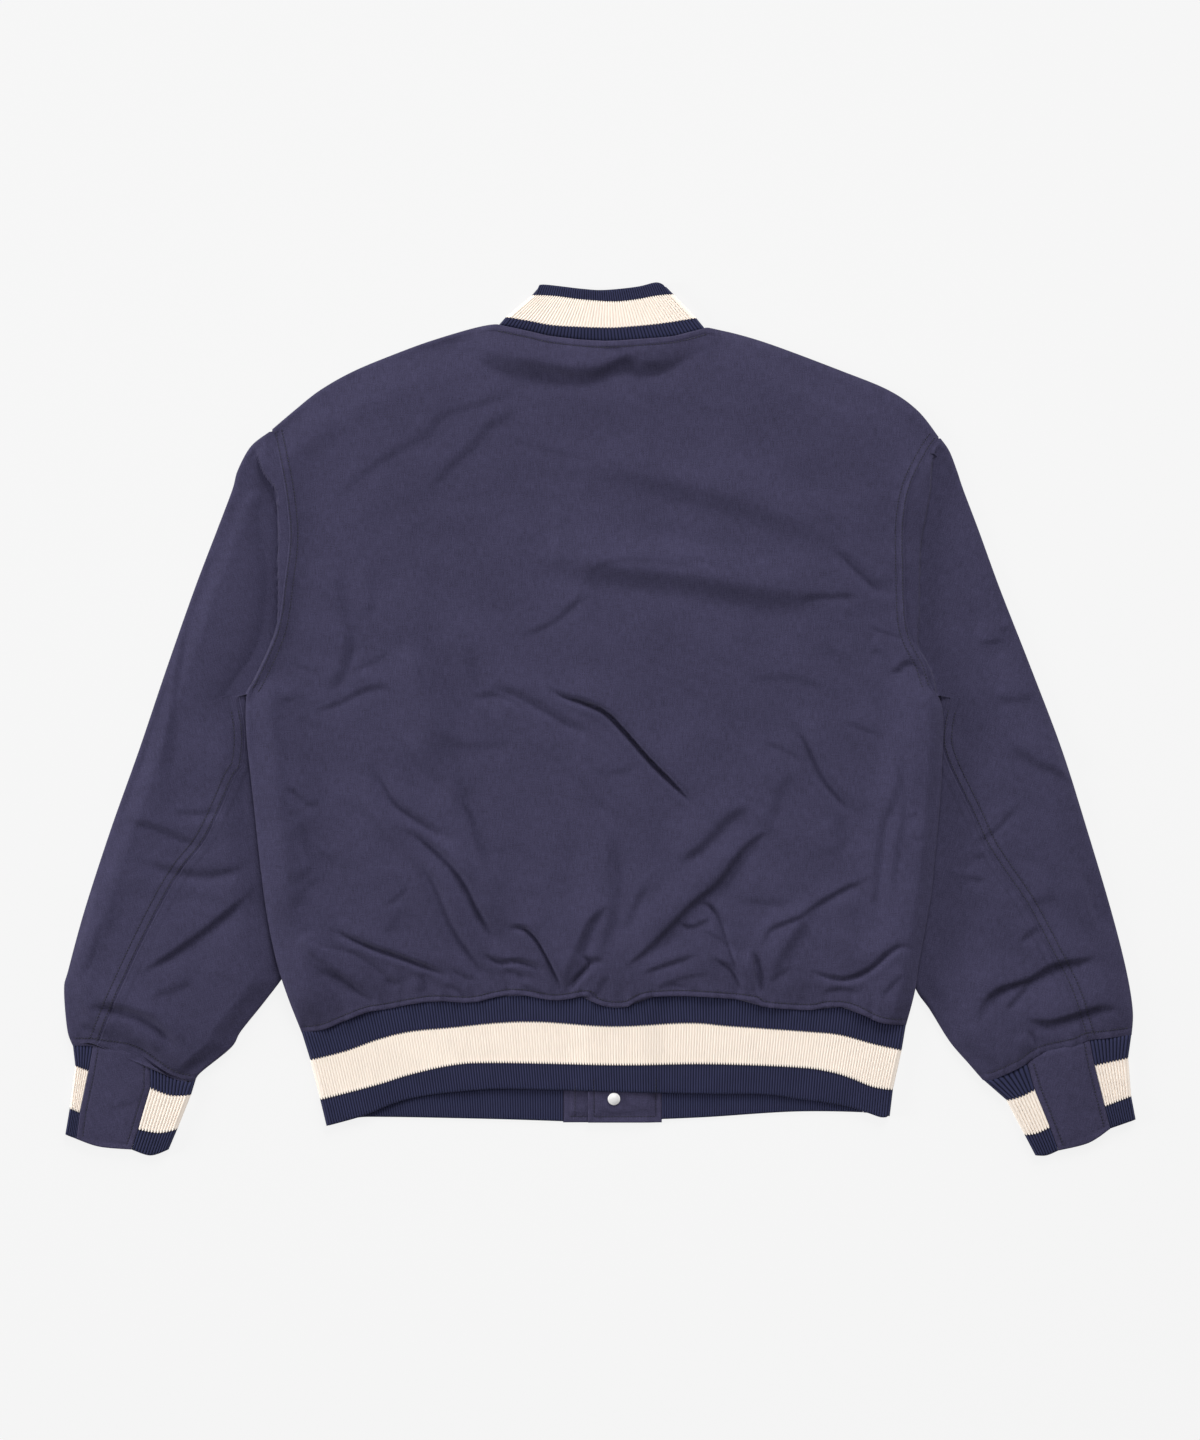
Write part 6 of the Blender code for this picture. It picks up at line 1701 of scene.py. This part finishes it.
HEM_END_LEFT_ROW = (-28.0, -23.0, -12.5)    # x of the left cloth end's rows: start, upright row and end
HEM_END_ROWS_TOP = -330.0               # y where the cloth ends' upright rows start, under the back
ABOVE = 60.0                            # height from which the ground is looked for


class Ground:
    """Top of the pieces that are stitched, found from above."""

    def __init__(self, names):
        points, faces = [], []
        for name in names:
            piece = bpy.data.objects[name]
            start = len(points)
            points += [vertex.co[:] for vertex in piece.data.vertices]
            faces += [[start + corner for corner in face.vertices] for face in piece.data.polygons]
        self.tree = BVHTree.FromPolygons(points, faces)

    def under(self, x, y):
        """Point and normal of the top at a table place, or None off the pieces."""
        above = Vector(in_metres((x, y, ABOVE)))
        point, normal, _, _ = self.tree.ray_cast(above, Vector((0.0, 0.0, -1.0)))
        return (point, normal) if point else None


STITCH_FORM = ((-0.5, 0.08, -0.25), (-0.34, 0.42, 0.08), (0.0, 0.50, 0.16), (0.34, 0.42, 0.08),
               (0.5, 0.08, -0.25))      # place along a stitch, its radius and its height in millimetres
STITCH_SIDES = 5
STITCH_GAP = 0.45                       # share of a stitch's length between two stitches
STITCHED = ("back", "upper_sleeve_left", "upper_sleeve_right", "under_sleeve_left", "under_sleeve_right",
            "insert_left", "insert_right", "hem_tab_left", "hem_tab_right", "hem")


def stitch_points(place, normal, ahead, length):
    """Points of one stitch, ring by ring, on ground with some normal."""
    run = Vector((*ahead, 0.0)).normalized()
    run = (run - normal * run.dot(normal)).normalized()
    aside = normal.cross(run)
    points = []
    for along, radius, height in STITCH_FORM:
        middle = place + run * (along * length) + normal * (height * MM)
        reach = radius * MM
        for side in range(STITCH_SIDES):
            turn = 2 * math.pi * side / STITCH_SIDES
            points.append(middle + aside * (reach * math.cos(turn)) + normal * (reach * math.sin(turn)))
    return points


def stitch_faces(start):
    """Faces of one stitch whose points start at an index."""
    top = start + (len(STITCH_FORM) - 1) * STITCH_SIDES
    faces = [face for low in range(start, top, STITCH_SIDES) for face in ring_faces(low, STITCH_SIDES)]
    return [*faces, tuple(range(start, start + STITCH_SIDES))[::-1], tuple(range(top, top + STITCH_SIDES))]


def make_stitching(name, ground, paths, length):
    """Rows of machine stitches, as one piece."""
    points, faces = [], []
    for path in paths:
        count = max(int(path.length * MM / (length * (1.0 + STITCH_GAP))), 1)
        for share in (np.arange(count) + 0.5) / count:
            found = ground.under(*path.at(share))
            if found:
                ahead = path.at(min(share + 0.002, 1.0)) - path.at(max(share - 0.002, 0.0))
                faces += stitch_faces(len(points))
                points += stitch_points(*found, ahead, length)
    data = bpy.data.meshes.new(name)
    data.from_pydata([point[:] for point in points], [], faces)
    data.shade_smooth()
    data.materials.append(finish("jacket_thread"))
    piece = put_in_scene(name, data)
    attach(piece, "root")


def tab_paths():
    """Rows round the edges of the cuffs' inserts and of the hem's cloth ends."""
    paths = []
    for side in ("left", "right"):
        table = SLEEVES[side]
        cuff = Curve(table["cuff"])
        for column, share, sign in zip((1, 2), table["insert"], (1, -1)):
            edge = Line([cuff.at(share), *(row[column] for row in CUFFS[side])])
            paths.append(edge.part(0.02, 0.97).beside(-table["outward"] * sign * TAB_STITCH))
    low = HEM_END_LOW + TAB_STITCH
    start, end = FRONT_EDGES["right"] + TAB_STITCH, HEM_END_RIGHT - TAB_STITCH
    paths += [Line(((x, HEM_END_ROWS_TOP), (x, low))) for x in (HEM_END_LEFT_ROW[1], start, end)]
    ends = (HEM_END_LEFT_ROW[::2], (start, end))
    paths += [Line(((left, low), (right, low))) for left, right in ends]
    return paths


def stitch_paths():
    """Rows of topstitching in plan, by the group that they belong to."""
    groups = {"armhole_stitching": [], "sleeve_stitching": []}
    for side_line, sign in ((SIDE_LEFT, 1), (SIDE_RIGHT, -1)):
        armhole = Curve(side_line).part(*ARMHOLE_SEWN, 160)
        groups["armhole_stitching"] += [armhole.beside(sign * reach) for reach in ARMHOLE_ROWS]
    groups["neck_stitching"] = [Curve(NECK).part(0.01, 0.99).beside(-NECK_ROW)]
    groups["hem_stitching"] = [Curve(HEM_SEAM).part(0.006, 0.994, 260).beside(HEM_ROW, 400)]
    groups["cuff_stitching"] = []
    for table in SLEEVES.values():
        seam = Curve(table["seam"]).part(0.03, 0.99, 160)
        groups["sleeve_stitching"] += [seam.beside(table["outward"] * reach) for reach in SLEEVE_ROWS]
        cuff = Curve(table["cuff"]).part(0.02, 0.98, 120)
        groups["cuff_stitching"].append(cuff.beside(-table["outward"] * CUFF_ROW))
    groups["tab_stitching"] = tab_paths()
    return groups


# Operators and panel


class JACKET_OT_body(Operator):
    """Make the back and the two fronts of the body"""

    bl_idname = "jacket.body"
    bl_label = "Body"

    def execute(self, context):
        make_back(context.scene.jacket_cloth.crease)
        for side in ("left", "right"):
            make_front(side)
        return {"FINISHED"}


class JACKET_OT_sleeves(Operator):
    """Make the two parts of both sleeves"""

    bl_idname = "jacket.sleeves"
    bl_label = "Sleeves"

    def execute(self, context):
        strength = context.scene.jacket_cloth.crease
        for side in ("left", "right"):
            make_sleeve(side, back_form(strength)[side], strength)
        return {"FINISHED"}


class JACKET_OT_ribs(Operator):
    """Make the ribbed hem, collar and cuffs, with their cloth ends and inserts"""

    bl_idname = "jacket.ribs"
    bl_label = "Ribs"

    def execute(self, context):
        back = back_form(context.scene.jacket_cloth.crease)
        lines, fronts = hem_lines(back)
        piece = make_round_band("hem", "hem_rib", lines, fronts, HEM_HEIGHT, HEM_LAP_RISE, HEM_RIBS)
        for side, line in zip(("left", "right"), fronts):
            front = make_band_front("hem_front_" + side, "hem_rib", line, 84, 0.6)
        lines, fronts = collar_lines(back, [Line(front_top(side)) for side in ("left", "right")])
        piece = make_round_band("collar", "collar_rib", lines, fronts, COLLAR_HEIGHT, 0.0, COLLAR_RIBS)
        for side, line in zip(("left", "right"), fronts):
            front = make_band_front("collar_front_" + side, "collar_rib", line, 30, 0.5)
        for side in ("left", "right"):
            make_cuff(side)
        make_hem_ends()
        return {"FINISHED"}


class JACKET_OT_snaps(Operator):
    """Make the snap caps down the lap"""

    bl_idname = "jacket.snaps"
    bl_label = "Snaps"

    def execute(self, context):
        for index in range(SNAP_COUNT):
            make_snap(index)
        return {"FINISHED"}


class JACKET_OT_stitching(Operator):
    """Make the rows of topstitching on the pieces that are there"""

    bl_idname = "jacket.stitching"
    bl_label = "Stitching"

    def execute(self, context):
        ground = Ground(STITCHED)
        for name, paths in stitch_paths().items():
            make_stitching(name, ground, paths, context.scene.jacket_cloth.stitch)
        return {"FINISHED"}


SOFTBOXES = (                   # name, azimuth and elevation, distance and size
    ("left", 180.0, 14.0, 5.0, 1.8),
    ("top", 75.0, 27.0, 7.0, 3.5),
    ("right", 0.0, 20.0, 5.0, 2.5),
    ("overhead", 90.0, 86.0, 1.15, 0.8),
)
FLOOR_HALF = 40.0               # metres from the middle of the floor to its edges
FLOOR_DROP = 0.0002             # metres that the floor lies below the jacket
CLOTH_LEVEL = 0.008             # metres up to the level at which the picture has its stated height
SENSOR = 36.0


def add_softbox(name, flat, azimuth, elevation, distance, size):
    """Round softbox that gives flat ground in the middle some share of a white surface's full brightness."""
    lamp = bpy.data.lights.new(name, "AREA")
    lamp.shape = "DISK"
    lamp.size = size
    turn, rise = math.radians(azimuth), math.radians(elevation)
    lamp.energy = flat * (math.pi * distance) ** 2 / math.sin(rise)
    light = put_in_scene(name, lamp)
    way = Vector((math.cos(turn) * math.cos(rise), math.sin(turn) * math.cos(rise), math.sin(rise)))
    light.rotation_euler = way.to_track_quat("Z", "Y").to_euler()
    light.location = way * distance


def add_floor(brightness, shadow):
    """Pale floor that glows by itself, but for the share that shadows darken."""
    data = bpy.data.meshes.new("floor")
    corners = [(x * FLOOR_HALF, y * FLOOR_HALF, 0) for x, y in ((-1, -1), (1, -1), (1, 1), (-1, 1))]
    data.from_pydata(corners, [], [(0, 1, 2, 3)])
    material, _ = new_finish("floor")
    glow = brightness - shadow
    set_shader(material, {}, {"Base Color": (shadow, shadow, shadow, 1.0), "Roughness": 0.9,
                              "Specular IOR Level": 0.0, "Emission Color": (glow, glow, glow, 1.0),
                              "Emission Strength": 1.0})
    data.materials.append(material)
    floor = put_in_scene("floor", data)
    floor.location.z = -FLOOR_DROP


def add_sky(strength):
    """Even white light from all round."""
    world = bpy.data.worlds.new("studio")
    world.use_nodes = True
    sky = world.node_tree.nodes["Background"]
    sky.inputs["Color"].default_value = (1.0, 1.0, 1.0, 1.0)
    sky.inputs["Strength"].default_value = strength
    bpy.context.scene.world = world


def add_camera(lens, view):
    """Camera that looks straight down on the middle of the jacket."""
    data = bpy.data.cameras.new("camera")
    data.lens = lens
    data.sensor_width = SENSOR
    camera = put_in_scene("camera", data)
    camera.location = (-MIDDLE[0] * MM, -MIDDLE[1] * MM, view * lens / SENSOR + CLOTH_LEVEL)
    bpy.context.scene.camera = camera


class JACKET_OT_stage(Operator):
    """Make the floor, the lights and the camera"""

    bl_idname = "jacket.stage"
    bl_label = "Stage"

    def execute(self, context):
        stage = context.scene.jacket_stage
        context.scene.view_settings.view_transform = "Standard"
        add_floor(stage.floor, stage.shadow)
        add_sky(stage.ambient)
        for name, *where in SOFTBOXES:
            add_softbox(name + "_softbox", getattr(stage, name), *where)
        add_camera(stage.lens, stage.view)
        return {"FINISHED"}


class JACKET_PT_panel(Panel):
    """Settings and steps of the jacket, in the order that they are made"""

    bl_idname = "JACKET_PT_panel"
    bl_label = "Varsity Jacket"
    bl_space_type = "VIEW_3D"
    bl_region_type = "UI"
    bl_category = "Jacket"

    def draw(self, context):
        for settings in (context.scene.jacket_cloth, context.scene.jacket_stage):
            box = self.layout.box()
            for name in settings.bl_rna.properties.keys():
                if name not in ("rna_type", "name"):
                    box.prop(settings, name)
        for step in STEPS:
            self.layout.operator(step.bl_idname)


STEPS = (JACKET_OT_body, JACKET_OT_sleeves, JACKET_OT_ribs, JACKET_OT_snaps, JACKET_OT_stitching,
         JACKET_OT_stage)
CLASSES = (JacketCloth, JacketStage, *STEPS, JACKET_PT_panel)


def register():
    """Register the classes and add the settings to the scene."""
    for item in CLASSES:
        bpy.utils.register_class(item)
    bpy.types.Scene.jacket_cloth = PointerProperty(type=JacketCloth)
    bpy.types.Scene.jacket_stage = PointerProperty(type=JacketStage)


def unregister():
    """Undo register."""
    del bpy.types.Scene.jacket_stage
    del bpy.types.Scene.jacket_cloth
    for item in reversed(CLASSES):
        bpy.utils.unregister_class(item)


def main():
    """Make the whole jacket and its stage."""
    register()
    bpy.ops.jacket.body()
    bpy.ops.jacket.sleeves()
    bpy.ops.jacket.ribs()
    bpy.ops.jacket.snaps()
    bpy.ops.jacket.stitching()
    bpy.ops.jacket.stage()


if __name__ == "__main__":
    main()
